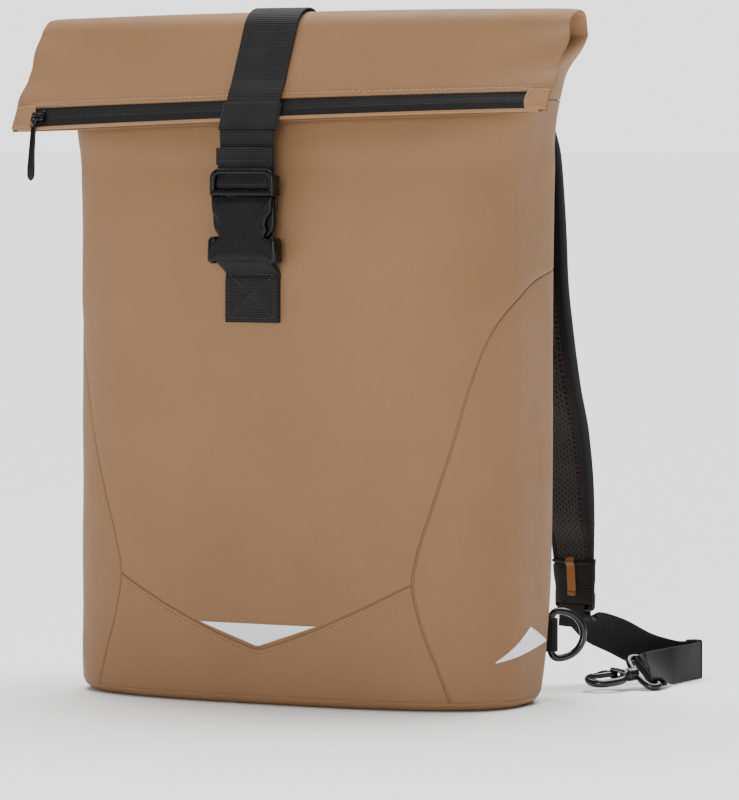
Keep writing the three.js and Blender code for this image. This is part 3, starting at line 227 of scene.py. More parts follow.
def skin_normal(around, along):
    """The unit vector out of the skin: the cross product of its slopes around and along."""
    across = skin(around + 0.004, along) - skin(around - 0.004, along)
    up = skin(around, along + 0.6) - skin(around, np.maximum(along - 0.6, 0))
    return unit(np.cross(across, up))


def off_skin(around, along, distance):
    """The skin's point moved out by a distance."""
    return skin(around, along) + skin_normal(around, along) * np.asarray(distance)[..., None]


def flap_around(across):
    """The share of the way round at a distance across the flap."""
    across = np.asarray(across, float)
    return np.where(across < 0, -1.0, 1.0) * (1 - 0.5 * np.abs(across) / HALF_ROLL)


def seam_around(height):
    """Where the side seam is at a height, as a share of the way round."""
    return from_table(SIDE_SEAM, 1, np.minimum(height / SIDE_SEAM_TOP, 1))


JUNCTION = float(seam_around(V_END))
SEAM_SHARE = SEAM_GAP / (2 * (HALF_BODY + FRONT_DEPTH))


def v_height(around):
    """The height of the V seam: from its tip at the middle to its ends, by a power of the way round."""
    return mix(V_TIP, V_END, (np.abs(around) / JUNCTION) ** 1.22)


def soft(points):
    """Slow swells of a few tenths of a millimetre, the same function of place for every panel."""
    x, y, z = (points[..., k] for k in range(3))
    return (
        0.35 * np.sin(x / 31 + z / 74 + 0.6) * np.sin(z / 43 + 1.1)
        + 0.25 * np.sin(x / 17 - z / 29 + y / 23 + 2.2)
        + 0.18 * np.sin(z / 13 + x / 37 + y / 19)
    )


# Meshes

def put_mesh(name, points, faces, look, body="bag", uv=None, sharp=32, replaces=()):
    """A piece from points in millimetres and faces, with its cloth coordinates, look, body, the nodes that
    it stands for and the slot that goes with its look."""
    mesh = bpy.data.meshes.new(name)
    mesh.from_pydata((np.asarray(points) * 0.001).tolist(), [], [list(f) for f in faces])
    if uv is not None:
        layer = mesh.uv_layers.new(name="cloth")
        layer.data.foreach_set("uv", (np.asarray(uv, float) * 0.001).ravel())
    mesh.shade_smooth()
    mesh.set_sharp_from_angle(angle=np.radians(sharp))
    piece = bpy.data.objects.new(name, mesh)
    bpy.context.scene.collection.objects.link(piece)
    mesh.materials.append(look)
    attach(piece, body)
    if replaces:
        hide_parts(*replaces)
    return piece


def turned_out(points, faces):
    """Whether the faces look outwards: the sum of their corners' triple products, the volume, isn't negative."""
    p = np.asarray(points)
    f = np.asarray(faces)
    a, b, c = p[f[:, 0]], p[f[:, 1]], p[f[:, 2]]
    volume = (a * np.cross(b, c)).sum()
    if f.shape[1] == 4:
        volume += (a * np.cross(c, p[f[:, 3]])).sum()
    return volume >= 0


def cells(rows, columns, wrap_rows=False, wrap_columns=False):
    """The corners of each cell of a grid, as rows and as columns, in the order that turns round it."""
    i, j = np.meshgrid(np.arange(rows - (not wrap_rows)), np.arange(columns - (not wrap_columns)), indexing="ij")
    i, j = i.ravel(), j.ravel()
    return np.stack([i, i, i + 1, i + 1], 1), np.stack([j, j + 1, j + 1, j], 1)


def grid_lengths(grid):
    """For each point of a grid, the distance along its row and along its column, from the middle lines' means."""
    across = np.linalg.norm(np.diff(grid, axis=1), axis=2)
    up = np.linalg.norm(np.diff(grid, axis=0), axis=2)
    u = np.concatenate([[0], np.cumsum(across.mean(0))])
    v = np.concatenate([[0], np.cumsum(up.mean(1))])
    return u, v


def wall(outer, inner):
    """The points, faces and uv of a sheet between two grids, closed along its four edges."""
    rows, columns = outer.shape[:2]
    count = rows * columns
    i, j = cells(rows, columns)
    face = i * columns + j
    edge = np.concatenate([
        np.arange(columns), np.arange(1, rows) * columns + columns - 1,
        (rows - 1) * columns + np.arange(columns - 2, -1, -1), np.arange(rows - 2, 0, -1) * columns,
    ])
    after = np.roll(edge, -1)
    rim = np.stack([edge, edge + count, after + count, after], 1)
    faces = np.vstack([face, face[:, ::-1] + count, rim])
    points = np.vstack([outer.reshape(-1, 3), inner.reshape(-1, 3)])
    u, v = grid_lengths(outer)
    flat = np.stack(np.meshgrid(u, v), -1).reshape(-1, 2)
    uv = np.vstack([flat, flat])[faces]
    if not turned_out(points, faces):
        faces, uv = faces[:, ::-1], uv[:, ::-1]
    return points, faces, uv.reshape(-1, 2)


def loft(rings, closed=False):
    """The points, faces and uv of a tube through rings: joined into a loop, or closed by a fan at each end."""
    rings = np.asarray(rings, float)
    rows, columns = rings.shape[:2]
    i, j = cells(rows, columns, closed, True)
    faces = (i % rows) * columns + j % columns
    points = rings.reshape(-1, 3)
    turn = np.concatenate([rings, rings[:, :1]], 1)
    middle = rings.mean(1)
    v = lengths(np.vstack([middle, middle[:1]]))
    u = np.concatenate([[0], np.cumsum(np.linalg.norm(np.diff(turn, axis=1), axis=2).mean(0))])
    uv = np.stack([u[j], v[i]], -1)
    if not closed:
        ends = []
        for row, flip in ((0, 1), (rows - 1, -1)):
            middle_point = len(points)
            points = np.vstack([points, rings[row].mean(0)])
            a = row * columns + np.arange(columns)
            b = row * columns + (np.arange(columns) + 1) % columns
            fan = np.stack([np.full(columns, middle_point), b, a, a], 1)
            ends.append(fan if flip > 0 else fan[:, [0, 2, 1, 1]])
        triangles = np.vstack(ends)
    if not turned_out(points, faces):
        faces, uv = faces[:, ::-1], uv[:, ::-1]
        if not closed:
            triangles = triangles[:, [0, 2, 1, 1]]
    everything = list(faces)
    uv = uv.reshape(-1, 2)
    if not closed:
        everything += [t[:3] for t in triangles]
        uv = np.vstack([uv, np.zeros((3 * len(triangles), 2))])
    return points, everything, uv


def frames_along(path, across, closed=False):
    """At each point of a path: the direction across it, made square to the path, the one through it, and
    the path's own."""
    before, after = np.roll(path, 1, 0), np.roll(path, -1, 0)
    if not closed:
        before[0], after[-1] = path[0], path[-1]
    tangent = unit(after - before)
    across = np.broadcast_to(across, path.shape)
    across = unit(across - (across * tangent).sum(1, keepdims=True) * tangent)
    return across, np.cross(tangent, across), tangent


def sweep(path, across, profile, scale=1.0, closed=False):
    """Rings of a profile, as [across, through] pairs in millimetres, carried along a path."""
    path = np.asarray(path, float)
    wide, through, _ = frames_along(path, across, closed)
    scale = np.broadcast_to(np.asarray(scale, float).reshape(-1, 1, 1), (len(path), 1, 1))
    u, w = profile[:, 0][None, :, None], profile[:, 1][None, :, None]
    return path[:, None] + scale * (u * wide[:, None] + w * through[:, None])


def rounded(width, thickness, radius, steps=4, fine=6):
    """A rectangle's outline with rounded corners, its long sides cut into even steps."""
    x, y = width / 2 - radius, thickness / 2 - radius
    turn = np.linspace(0, np.pi / 2, steps + 1)
    corner = np.stack([np.cos(turn), np.sin(turn)], 1) * radius
    top = np.linspace(x, -x, fine + 1)[1:-1]
    sides = []
    for k, (cx, cy) in enumerate(((x, y), (-x, y), (-x, -y), (x, -y))):
        quarter_turn = np.array([[0, 1], [-1, 0]])
        rotated = corner @ np.linalg.matrix_power(quarter_turn, k)
        sides.append(rotated + (cx, cy))
        if k == 0:
            sides.append(np.stack([top, np.full_like(top, thickness / 2)], 1))
        if k == 2:
            sides.append(np.stack([-top, np.full_like(top, -thickness / 2)], 1))
    return np.vstack(sides)


def circle(radius, sides=20, flat=1.0):
    """A circle's outline, flattened through by a share."""
    angle = np.linspace(0, 2 * np.pi, sides, endpoint=False)
    return np.stack([np.cos(angle), flat * np.sin(angle)], 1) * radius


def round_ends(rings, reach):
    """The rings with both ends drawn in along a quarter circle of the given reach, for a soft end."""
    rings = np.asarray(rings, float)
    turn = np.linspace(np.pi / 2, 0.12, 5)
    out = []
    for end, inner in ((rings[0], rings[1]), (rings[-1], rings[-2])):
        away = unit(end.mean(0) - inner.mean(0))
        extra = [end.mean(0) + (end - end.mean(0)) * (1 - (1 - np.sin(a)) * 0.9)
                 + away * reach * np.cos(a) for a in turn]
        out.append(extra)
    return np.concatenate([np.array(out[0][::-1]), rings[1:-1], np.array(out[1])])


def bar(name, path, across, profile, look, scale=1.0, closed=False, soft_end=0.0, side=1, **more):
    """A piece that is a profile carried along a path, mirrored across the middle where side is -1."""
    rings = sweep(path, across, profile, scale, closed)
    if soft_end and not closed:
        rings = round_ends(rings, soft_end)
    points, faces, uv = loft(rings * (side, 1, 1), closed)
    return put_mesh(name, points, faces, look, uv=uv, **more)


def slabs(outline, thickness, rounding, crown=0.0):
    """A moulded plate: an outline of [x, z] pairs with its edges rounded by a quarter circle, its faces
    drawn in to the middle on shrinking copies of the outline that rise by a parabola of height crown."""
    outline = np.asarray(outline, float)
    centre = outline.mean(0)
    after, before = np.roll(outline, -1, 0), np.roll(outline, 1, 0)
    along = unit(after - before)
    inward = np.stack([-along[:, 1], along[:, 0]], 1)
    if ((centre - outline) * inward).sum() < 0:
        inward = -inward
    half = thickness / 2
    upper = [(outline + inward * rounding * (1 - np.sin(a)), half - rounding * (1 - np.cos(a)))
             for a in np.linspace(np.pi / 2, 0, 5)[:-1]]
    upper += [(centre + (outline + inward * rounding - centre) * share, half + crown * (1 - share**2))
              for share in np.linspace(1, 0, 5, endpoint=False)]
    both = [(loop, -depth) for loop, depth in upper[::-1]] + upper
    loops = np.array([loop for loop, _ in both])
    depths = np.broadcast_to(np.array([depth for _, depth in both])[:, None], loops.shape[:2])
    return np.stack([loops[..., 0], depths, loops[..., 1]], -1)


def plate(name, outline, thickness, at, look, rounding=0.8, crown=0.0, axes=np.eye(3), side=1, **more):
    """A moulded plate with its middle at a place, its width, depth and height along three axes."""
    rings = slabs(outline, thickness, rounding, crown)
    points, faces, uv = loft((rings @ np.asarray(axes, float) + np.asarray(at, float)) * (side, 1, 1))
    return put_mesh(name, points, faces, look, uv=uv, sharp=40, **more)


def stitches(name, path, normals, look, pitch, length, radius):
    """A row of stitches: each a small spindle, its radius the square root of a sine along it, laid at
    every pitch of the path and pulled down into the cloth at both ends."""
    path, normals = np.asarray(path, float), np.asarray(normals, float)
    along = lengths(path)
    at = np.arange(pitch / 2, along[-1] - length / 2, pitch)
    if not len(at):
        return None
    pick = lambda values, where: np.stack([np.interp(where, along, values[:, k]) for k in range(3)], 1)
    a, b = pick(path, at - length / 2), pick(path, at + length / 2)
    up = unit(pick(normals, at))
    forward = unit(b - a)
    side = np.cross(forward, up)
    steps, sides = np.linspace(0, 1, 7), 6
    thick = radius * np.sqrt(np.clip(np.sin(np.pi * (0.08 + 0.84 * steps)), 0, 1))
    angle = np.linspace(0, 2 * np.pi, sides, endpoint=False)
    sink = STITCH_OUT - STITCH_SINK * np.abs(2 * steps - 1) ** 3
    ring = (
        mix(a[:, None, None], b[:, None, None], steps[None, :, None, None])
        + up[:, None, None] * (sink[:, None] + thick[:, None] * np.sin(angle))[None, :, :, None]
        + side[:, None, None] * (thick[:, None] * np.cos(angle))[None, :, :, None]
    )
    count = len(at)
    i, j = cells(len(steps), sides, False, True)
    one = i * sides + j % sides
    caps = np.array([[0, 1, 2, 3], [0, 3, 4, 5]])
    last = (len(steps) - 1) * sides
    one = np.vstack([one[:, ::-1], caps, (caps + last)[:, ::-1]])
    points = ring.reshape(-1, 3)
    if not turned_out(points[:len(steps) * sides] - points[:len(steps) * sides].mean(0), one):
        one = one[:, ::-1]
    faces = (one[None] + np.arange(count)[:, None, None] * len(steps) * sides).reshape(-1, 4)
    uv = np.tile(np.stack([np.repeat(steps, sides) * length, np.tile(angle, len(steps))], 1), (count, 1))[faces]
    return put_mesh(name, points, faces, look, uv=uv.reshape(-1, 2), sharp=180)


# Materials

def nodes_of(name, roughness, **sockets):
    """A material with its shader's constants set, its node tree and that shader."""
    made = bpy.data.materials.new(name)
    made.use_nodes = True
    tree = made.node_tree
    shader = tree.nodes["Principled BSDF"]
    shader.inputs["Roughness"].default_value = roughness
    for key, value in sockets.items():
        shader.inputs[key.replace("_", " ")].default_value = value
    return made, tree, shader


def add(tree, kind, inputs=None, **settings):
    """One node: settings are its properties, and inputs are constants or the sockets that feed it."""
    node = tree.nodes.new("ShaderNode" + kind)
    for key, value in settings.items():
        setattr(node, key, value)
    for key, value in (inputs or {}).items():
        if isinstance(value, bpy.types.NodeSocket):
            tree.links.new(value, node.inputs[key])
        else:
            node.inputs[key].default_value = value
    return node


def maths(tree, operation, *values):
    """A Math node over sockets and numbers."""
    return add(tree, "Math", dict(enumerate(values)), operation=operation).outputs[0]


def place_of(tree, by_uv=False):
    """Object coordinates in metres, or the piece's own cloth coordinates."""
    return add(tree, "TexCoord").outputs["UV" if by_uv else "Object"]


def noise(tree, place, scale, detail=3, rough=0.5):
    """A noise value about 0.5."""
    inputs = {"Vector": place, "Scale": scale, "Detail": detail, "Roughness": rough}
    return add(tree, "TexNoise", inputs).outputs["Fac"]


def ramp(tree, value, low, high, to_low, to_high):
    """A value mapped from one range to another and kept within it."""
    inputs = {"Value": value, "From Min": low, "From Max": high, "To Min": to_low, "To Max": to_high}
    return add(tree, "MapRange", inputs).outputs["Result"]


def tint(tree, share, dark, light):
    """A colour between two, by a share."""
    node = add(tree, "Mix", data_type="RGBA")
    tree.links.new(share, node.inputs[0])
    node.inputs[6].default_value = (*dark, 1)
    node.inputs[7].default_value = (*light, 1)
    return node.outputs[2]


def finish_look(tree, shader, colour, height, depth, rough=None):
    """Joins a colour, a bump of a height in metres, and a roughness to the shader."""
    tree.links.new(colour, shader.inputs["Base Color"])
    bump = add(tree, "Bump", {"Height": height, "Distance": depth, "Strength": 1.0})
    tree.links.new(bump.outputs["Normal"], shader.inputs["Normal"])
    if rough is not None:
        tree.links.new(rough, shader.inputs["Roughness"])


def leather_look(name, dark, light, grain=0.00007):
    """Coated cloth: pebbled grain of cells under a millimetre, fine creases, slow changes of tone and gloss."""
    made, tree, shader = nodes_of(name, 0.55, Specular_IOR_Level=0.16)
    place = place_of(tree)
    cell = add(tree, "TexVoronoi", {"Vector": place, "Scale": 1150.0, "Randomness": 1.0}, feature="SMOOTH_F1")
    cell.inputs["Smoothness"].default_value = 0.35
    creases = noise(tree, place, 420.0, 4, 0.6)
    broad = noise(tree, place, 11.0, 3, 0.5)
    pebble = maths(tree, "SUBTRACT", 1.0, cell.outputs["Distance"])
    height = maths(tree, "ADD", pebble, maths(tree, "MULTIPLY", creases, 0.9))
    tone = maths(tree, "ADD", maths(tree, "MULTIPLY", ramp(tree, broad, 0.3, 0.7, 0.0, 1.0), 0.55),
                 maths(tree, "MULTIPLY", ramp(tree, cell.outputs["Distance"], 0.0, 0.9, 1.0, 0.0), 0.45))
    rough = ramp(tree, noise(tree, place, 60.0, 3, 0.6), 0.3, 0.7, 0.5, 0.62)
    finish_look(tree, shader, tint(tree, tone, dark, light), height, grain, rough)
    return made


def webbing_look(name, dark, light, rib=1.55, depth=0.00022):
    """Ribbed webbing on the cloth's own coordinates: ribs across it as a sine along, each broken by
    the twill of its yarns as a sine across, with a finer fibre noise."""
    made, tree, shader = nodes_of(name, 0.62, Specular_IOR_Level=0.15, Sheen_Weight=0.04, Sheen_Roughness=0.4)
    place = place_of(tree, True)
    parts = add(tree, "SeparateXYZ", {0: place})
    u, v = parts.outputs[0], parts.outputs[1]
    ribs = maths(tree, "SINE", maths(tree, "MULTIPLY", v, 2 * np.pi * 1000 / rib))
    row = maths(tree, "FLOOR", maths(tree, "MULTIPLY", v, 1000 / rib))
    shift = maths(tree, "MULTIPLY", row, np.pi)
    yarns = maths(tree, "SINE", maths(tree, "ADD", maths(tree, "MULTIPLY", u, 2 * np.pi * 1000 / 1.15), shift))
    fibre = noise(tree, place, 2600.0, 2, 0.6)
    woven = maths(tree, "ADD", maths(tree, "MULTIPLY", ribs, 0.32), maths(tree, "MULTIPLY", yarns, 0.16))
    height = maths(tree, "ADD", woven, maths(tree, "MULTIPLY", fibre, 0.3))
    worn = maths(tree, "MULTIPLY", noise(tree, place_of(tree), 45.0), 0.6)
    tone = ramp(tree, maths(tree, "ADD", height, worn), 0.0, 0.95, 0.0, 1.0)
    finish_look(tree, shader, tint(tree, tone, dark, light), height, depth)
    return made


def spacer_look(name, dark, light, pitch=3.8, depth=0.0009):
    """Spacer mesh: round holes on a hexagonal net, from the sum of three cosines 60 degrees apart."""
    made, tree, shader = nodes_of(name, 0.75, Specular_IOR_Level=0.2, Sheen_Weight=0.08, Sheen_Roughness=0.5)
    place = place_of(tree, True)
    waves = []
    for degrees in (0, 60, 120):
        a = np.radians(degrees)
        step = 2 * np.pi * 1000 / (pitch * 0.866)
        dot = add(tree, "VectorMath", {0: place, 1: (np.cos(a) * step, np.sin(a) * step, 0)}, operation="DOT_PRODUCT")
        waves.append(maths(tree, "COSINE", dot.outputs["Value"]))
    net = maths(tree, "ADD", maths(tree, "ADD", waves[0], waves[1]), waves[2])
    hole = ramp(tree, net, 0.2, 1.7, 0.0, 1.0)
    fibre = noise(tree, place, 2200.0, 2, 0.6)
    height = maths(tree, "SUBTRACT", maths(tree, "MULTIPLY", fibre, 0.18), hole)
    tone = ramp(tree, height, -0.8, 0.15, 0.0, 1.0)
    finish_look(tree, shader, tint(tree, tone, dark, light), height, depth)
    return made


def moulded_look(name, dark, light, roughness, coat=0.0, grain=0.00002, gloss=0.4):
    """Moulded or coated black: a fine speckle, faint flow marks, and gloss that differs a little by place."""
    made, tree, shader = nodes_of(name, roughness, Coat_Weight=coat, Coat_Roughness=0.12, Specular_IOR_Level=gloss)
    place = place_of(tree)
    speckle = noise(tree, place, 1900.0, 3, 0.6)
    broad = noise(tree, place, 90.0, 2, 0.5)
    rough = ramp(tree, noise(tree, place, 240.0, 3, 0.6), 0.3, 0.7, roughness - 0.05, roughness + 0.07)
    finish_look(tree, shader, tint(tree, broad, dark, light), speckle, grain, rough)
    return made


def thread_look(name, dark, light):
    """Twisted thread: a slanting ply as a sine of the stitch's own coordinates."""
    made, tree, shader = nodes_of(name, 0.5, Specular_IOR_Level=0.4, Sheen_Weight=0.2)
    parts = add(tree, "SeparateXYZ", {0: place_of(tree, True)})
    ply = maths(tree, "SINE", maths(tree, "ADD", maths(tree, "MULTIPLY", parts.outputs[0], 9000.0),
                                    maths(tree, "MULTIPLY", parts.outputs[1], 2000.0)))
    finish_look(tree, shader, tint(tree, ramp(tree, ply, -1.0, 1.0, 0.0, 1.0), dark, light), ply, 0.00004)
    return made


def reflector_look():
    """Reflective film: pale grey, a fine grid of cells as two crossed sines, and a soft metal gloss."""
    made, tree, shader = nodes_of("reflective film", 0.34, Metallic=0.25, Coat_Weight=0.3, Coat_Roughness=0.2)
    place = place_of(tree)
    parts = add(tree, "SeparateXYZ", {0: place})
    crossed = (maths(tree, way, parts.outputs[0], parts.outputs[2]) for way in ("ADD", "SUBTRACT"))
    height = maths(tree, "MULTIPLY", *(maths(tree, "SINE", maths(tree, "MULTIPLY", v, 7000.0)) for v in crossed))
    tone = ramp(tree, maths(tree, "ADD", height, noise(tree, place, 80.0)), -0.5, 1.6, 0.0, 1.0)
    finish_look(tree, shader, tint(tree, tone, (0.78, 0.81, 0.85), (0.9, 0.93, 0.96)), height, 0.00003)
    return made


LEATHER_LOOK = leather_look("coated cloth, brown", (0.22, 0.119, 0.057), (0.256, 0.141, 0.0705))
EDGE_LOOK = leather_look("coated cloth, turned edge", (0.24, 0.13, 0.062), (0.285, 0.158, 0.079), 0.00004)
THREAD = thread_look("brown thread", (0.3, 0.17, 0.085), (0.46, 0.28, 0.16))
WEBBING_LOOK = webbing_look("ribbed webbing", (0.003, 0.003, 0.0033), (0.02, 0.02, 0.021))
BINDING_LOOK = webbing_look("binding tape", (0.004, 0.004, 0.0043), (0.018, 0.018, 0.019), 0.8, 0.0001)
BLACK_THREAD = thread_look("black thread", (0.006, 0.006, 0.006), (0.022, 0.022, 0.023))
SPACER_LOOK = spacer_look("spacer mesh", (0.0025, 0.0025, 0.003), (0.029, 0.029, 0.03))
PLASTIC = moulded_look("moulded black", (0.003, 0.003, 0.003), (0.005, 0.005, 0.005), 0.26,
                       grain=0.00001, gloss=0.2)
METAL = moulded_look("black coated metal", (0.004, 0.004, 0.004), (0.008, 0.008, 0.008), 0.2, coat=0.1)
ZIP_LOOK = moulded_look("coated zip tape", (0.004, 0.004, 0.0043), (0.009, 0.009, 0.0095), 0.5,
                        grain=0.00003, gloss=0.25)
FILM = reflector_look()
ACCENT = leather_look("accent strip", (0.3, 0.12, 0.042), (0.38, 0.165, 0.06), 0.00004)


# The leather body

def panel(name, around, along, edges, replaces, puff=0.7, look=None, roll=1.35, extra=None, corners=()):
    """A panel of the bag's skin over a grid of places. Within the roll's radius r of an edge it turns
    under by r - sqrt(r^2 - (r - d)^2), d being the distance to the edge, and it swells by
    puff (1 - exp(-d / 9)) away from its seams. edges says which of left, right, low, high are sewn,
    and corners are more places where it is."""
    base = skin(around, along)
    normal = skin_normal(around, along)
    across = np.concatenate([np.zeros((len(base), 1)), np.cumsum(np.linalg.norm(np.diff(base, axis=1), axis=2), 1)], 1)
    up = np.concatenate([np.zeros((1, base.shape[1])), np.cumsum(np.linalg.norm(np.diff(base, axis=0), axis=2), 0)])
    reach = {"left": across, "right": across[:, -1:] - across, "low": up, "high": up[-1:] - up}
    away = np.minimum.reduce([reach[edge] for edge in edges]) if edges else np.full(base.shape[:2], 99.0)
    for corner in corners:
        away = np.minimum(away, np.linalg.norm(base - corner, axis=2))
    near = np.clip(roll - away, 0, roll)
    swell = -(roll - np.sqrt(roll**2 - near**2)) + puff * (1 - np.exp(-away / 9)) - 0.1
    swell = swell + soft(base) * smooth(away / 25) + (extra(base, away) if extra else 0)
    outer = base + normal * swell[..., None]
    inner = base - normal * LEATHER
    points, faces, uv = wall(outer, inner)
    return put_mesh(name, points, faces, look or LEATHER_LOOK, uv=uv, replaces=replaces, sharp=50)


def front_leather():
    """The front, from the V seam up to the collar: below the side seams' tops it ends at them, above them
    it reaches the back seams, and one row at that height is there twice, once for each width."""
    columns = 2 * spaced(380, 150) - 1
    r, c = np.meshgrid(spaced(220, 90), columns, indexing="ij")
    low = mix(v_height(c * JUNCTION) + SEAM_GAP / 2, SIDE_SEAM_TOP, r)
    r_high, c_high = np.meshgrid(spaced(130, 60), columns, indexing="ij")
    high = mix(SIDE_SEAM_TOP, COLLAR_HEIGHT - SEAM_GAP / 2, r_high)
    edge = seam_around(np.clip(low, V_END, SIDE_SEAM_TOP)) - SEAM_SHARE
    around = np.vstack([c * edge, c_high * (BACK_SEAM - SEAM_SHARE)])
    reach = np.linspace(seam_around(SIDE_SEAM_TOP), BACK_SEAM, 20)
    sewn = skin(np.concatenate([reach, -reach]), np.full(40, SIDE_SEAM_TOP))
    panel("front_leather", around, np.vstack([low, high]), ("left", "right", "low"), ("front_panel",), corners=sewn)


def lower_leather():
    """The lower front: its top edge is folded under and sewn down over the front, so it stands proud."""
    rows, columns = spaced(60, 40), 2 * spaced(250, 120) - 1
    r, c = np.meshgrid(rows, columns, indexing="ij")
    edge = seam_around(mix(BASE_SEAM + SEAM_GAP / 2, V_END - SEAM_GAP / 2, r))
    top = v_height(c * JUNCTION) - SEAM_GAP / 2
    around = c * (edge - SEAM_SHARE)
    along = mix(BASE_SEAM + SEAM_GAP / 2, top, r)

    def hem(base, away):
        """A hem stands out beside the V by 0.5 exp(-(d / 2)^2), and its stitches draw it in at 3.1."""
        down = np.linalg.norm(base[-1:] - base, axis=2)
        return 0.5 * np.exp(-((down / 2.0) ** 2)) - 0.35 * np.exp(-(((down - 3.1) / 0.8) ** 2))

    panel("lower_leather", around, along, ("left", "right", "low", "high"), ("lower_front_panel",), extra=hem)


def side_leather(hand, side):
    """A side panel between the side seam and the back seam."""
    rows, columns = spaced(280, 90), spaced(90, 36)
    r, c = np.meshgrid(rows, columns, indexing="ij")
    low = mix(BASE_SEAM + SEAM_GAP / 2, SIDE_SEAM_TOP - 1.0, r)
    back = BACK_SEAM - SEAM_SHARE
    around = mix(np.minimum(seam_around(low) + SEAM_SHARE * 0.25, back - 0.001), back, c)
    panel(f"side_leather_{hand}", side * around, low, ("left", "right", "low", "high"), (f"side_panel_{hand}",),
          puff=0.6, roll=1.8)


def back_leather():
    """The back, between the two back seams."""
    rows, columns = spaced(387, 90), 2 * spaced(270, 110) - 1
    r, c = np.meshgrid(rows, columns, indexing="ij")
    around = 1 - np.abs(c) * (1 - BACK_SEAM - SEAM_SHARE)
    around = np.where(c < 0, -around, around)
    panel("back_leather", around, mix(BASE_SEAM + SEAM_GAP / 2, COLLAR_HEIGHT - SEAM_GAP / 2, r),
          ("left", "right", "low"), ("back_panel",), puff=0.6)


def base_leather():
    """The base: a flat floor turned up round its rim to the base seam, its rings drawn in by shares."""
    around = np.linspace(-1, 1, 240, endpoint=False)
    top = BASE_SEAM - SEAM_GAP / 2
    rings = [skin(around, 0) * (share, share, 0) for share in (0.04, 0.3, 0.6, 0.85, 0.95)]
    rings += [skin(around, along) for along in np.linspace(0, top, 8)]
    rings += [skin(around, top + 0.35 * np.sin(np.pi * inset / 2), inset) for inset in (0.5, 1.1, LEATHER)]
    rings += [skin(around, LEATHER + 0.6, LEATHER)]
    rings += [skin(around, LEATHER, LEATHER) * (share, share, 1) for share in (0.9, 0.5, 0.04)]
    points, faces, uv = loft(np.array(rings))
    put_mesh("base_leather", points, faces, EDGE_LOOK, uv=uv, replaces=("base_panel",), sharp=60)


def roll_relief(around, along):
    """Folds of the roll: long soft swells along it that fade out towards the collar seam, pleats that gather
    at its two ends by a power of the distance across, a dip along the stitches above the zip, and a low
    rise along the hem at the zip's upper edge."""
    share = np.clip(np.abs(skin(around, along)[..., 0]) / HALF_ROLL, 0, 1)
    ends = share**9
    swell = 0.7 * np.sin(along / 13 + 2.4 * share + 0.7 * np.sign(around)) * np.sin(2.3 * around + along / 41)
    pleats = 1.1 * ends * np.sin(along / 5.2 + 9 * share)
    stitched = -0.4 * np.exp(-((along - (ZIP_TOP - ZIP_STITCH_RISE)) ** 2)) * (np.abs(around) > 0.5)
    hem = 0.45 * np.exp(-(((along - (ZIP_TOP - 0.8)) / 1.6) ** 2)) * (np.abs(around) > 0.53)
    return 0.45 * swell * smooth((along - COLLAR_HEIGHT) / 25) + pleats + stitched + hem


def roll_leather():
    """The flattened tube: up from the collar, round the fold and down the flap, open at its mouth, whose
    edge is rounded by r - sqrt(r^2 - (r - d)^2), r being half the leather and d the distance to it."""
    fine = 0.5 + 0.5 * np.sin(np.linspace(-np.pi / 2, np.pi / 2, 90))
    half = np.concatenate([0.5 - 0.5 * fine[::-1], 0.5 + 0.5 * fine[1:]])
    around = np.concatenate([half, -half[1:-1][::-1]])
    stop = MOUTH - (ZIP_WIDTH + ZIP_LIP) * smooth((np.abs(around) - 0.5) / 0.035)
    shares = np.concatenate([np.linspace(0, 0.96, 110), 1 - np.array([0.028, 0.018, 0.011, 0.006, 0.0025, 0.0])])
    along = COLLAR_HEIGHT + SEAM_GAP / 2 + shares[:, None] * (stop - COLLAR_HEIGHT - SEAM_GAP / 2)
    grid = np.broadcast_to(around, along.shape)
    edge = np.clip(HALF_LEATHER - (stop - along), 0, HALF_LEATHER)
    lift = roll_relief(grid, along) - (HALF_LEATHER - np.sqrt(np.maximum(HALF_LEATHER**2 - edge**2, 0)))
    outer = off_skin(grid, along, lift)
    inner = skin(grid, along, LEATHER)
    rings = np.concatenate([outer, inner[::-1]])
    points, faces, uv = loft(rings, closed=True)
    put_mesh("roll_leather", points, faces, LEATHER_LOOK, uv=uv, replaces=("roll_top",), sharp=60)


def welts():
    """Thin turned edges that fill the seams: a bead under each side seam, back seam, the V and the base seam."""
    side_up = np.linspace(BASE_SEAM, SIDE_SEAM_TOP - 1, 260)
    back_up = np.linspace(BASE_SEAM, COLLAR_HEIGHT, 300)
    level = np.linspace(seam_around(side_up)[-1], BACK_SEAM, 30)[1:]
    side_around = np.concatenate([seam_around(side_up), level])
    side_up = np.concatenate([side_up, np.full(29, side_up[-1])])
    for hand, side in HANDS:
        for name, around, up, lift in (("side", side * side_around, side_up, -2.1),
                                       ("back", np.full(300, side * BACK_SEAM), back_up, -1.0)):
            bar(f"{name}_welt_{hand}", off_skin(around, up, lift), skin_normal(around, up), circle(1.1, 10), EDGE_LOOK)
    share = np.linspace(-0.99, 0.99, 240)
    around = share * JUNCTION
    path = off_skin(around, v_height(around), -1.8)
    bar("v_welt", path, skin_normal(around, v_height(around)), circle(1.05, 10), EDGE_LOOK, soft_end=0.4)
    around = np.linspace(-1, 1, 400, endpoint=False)
    path = off_skin(around, np.full_like(around, BASE_SEAM), -0.95)
    bar("base_welt", path, (0, 0, 1), circle(1.05, 10), EDGE_LOOK, closed=True)


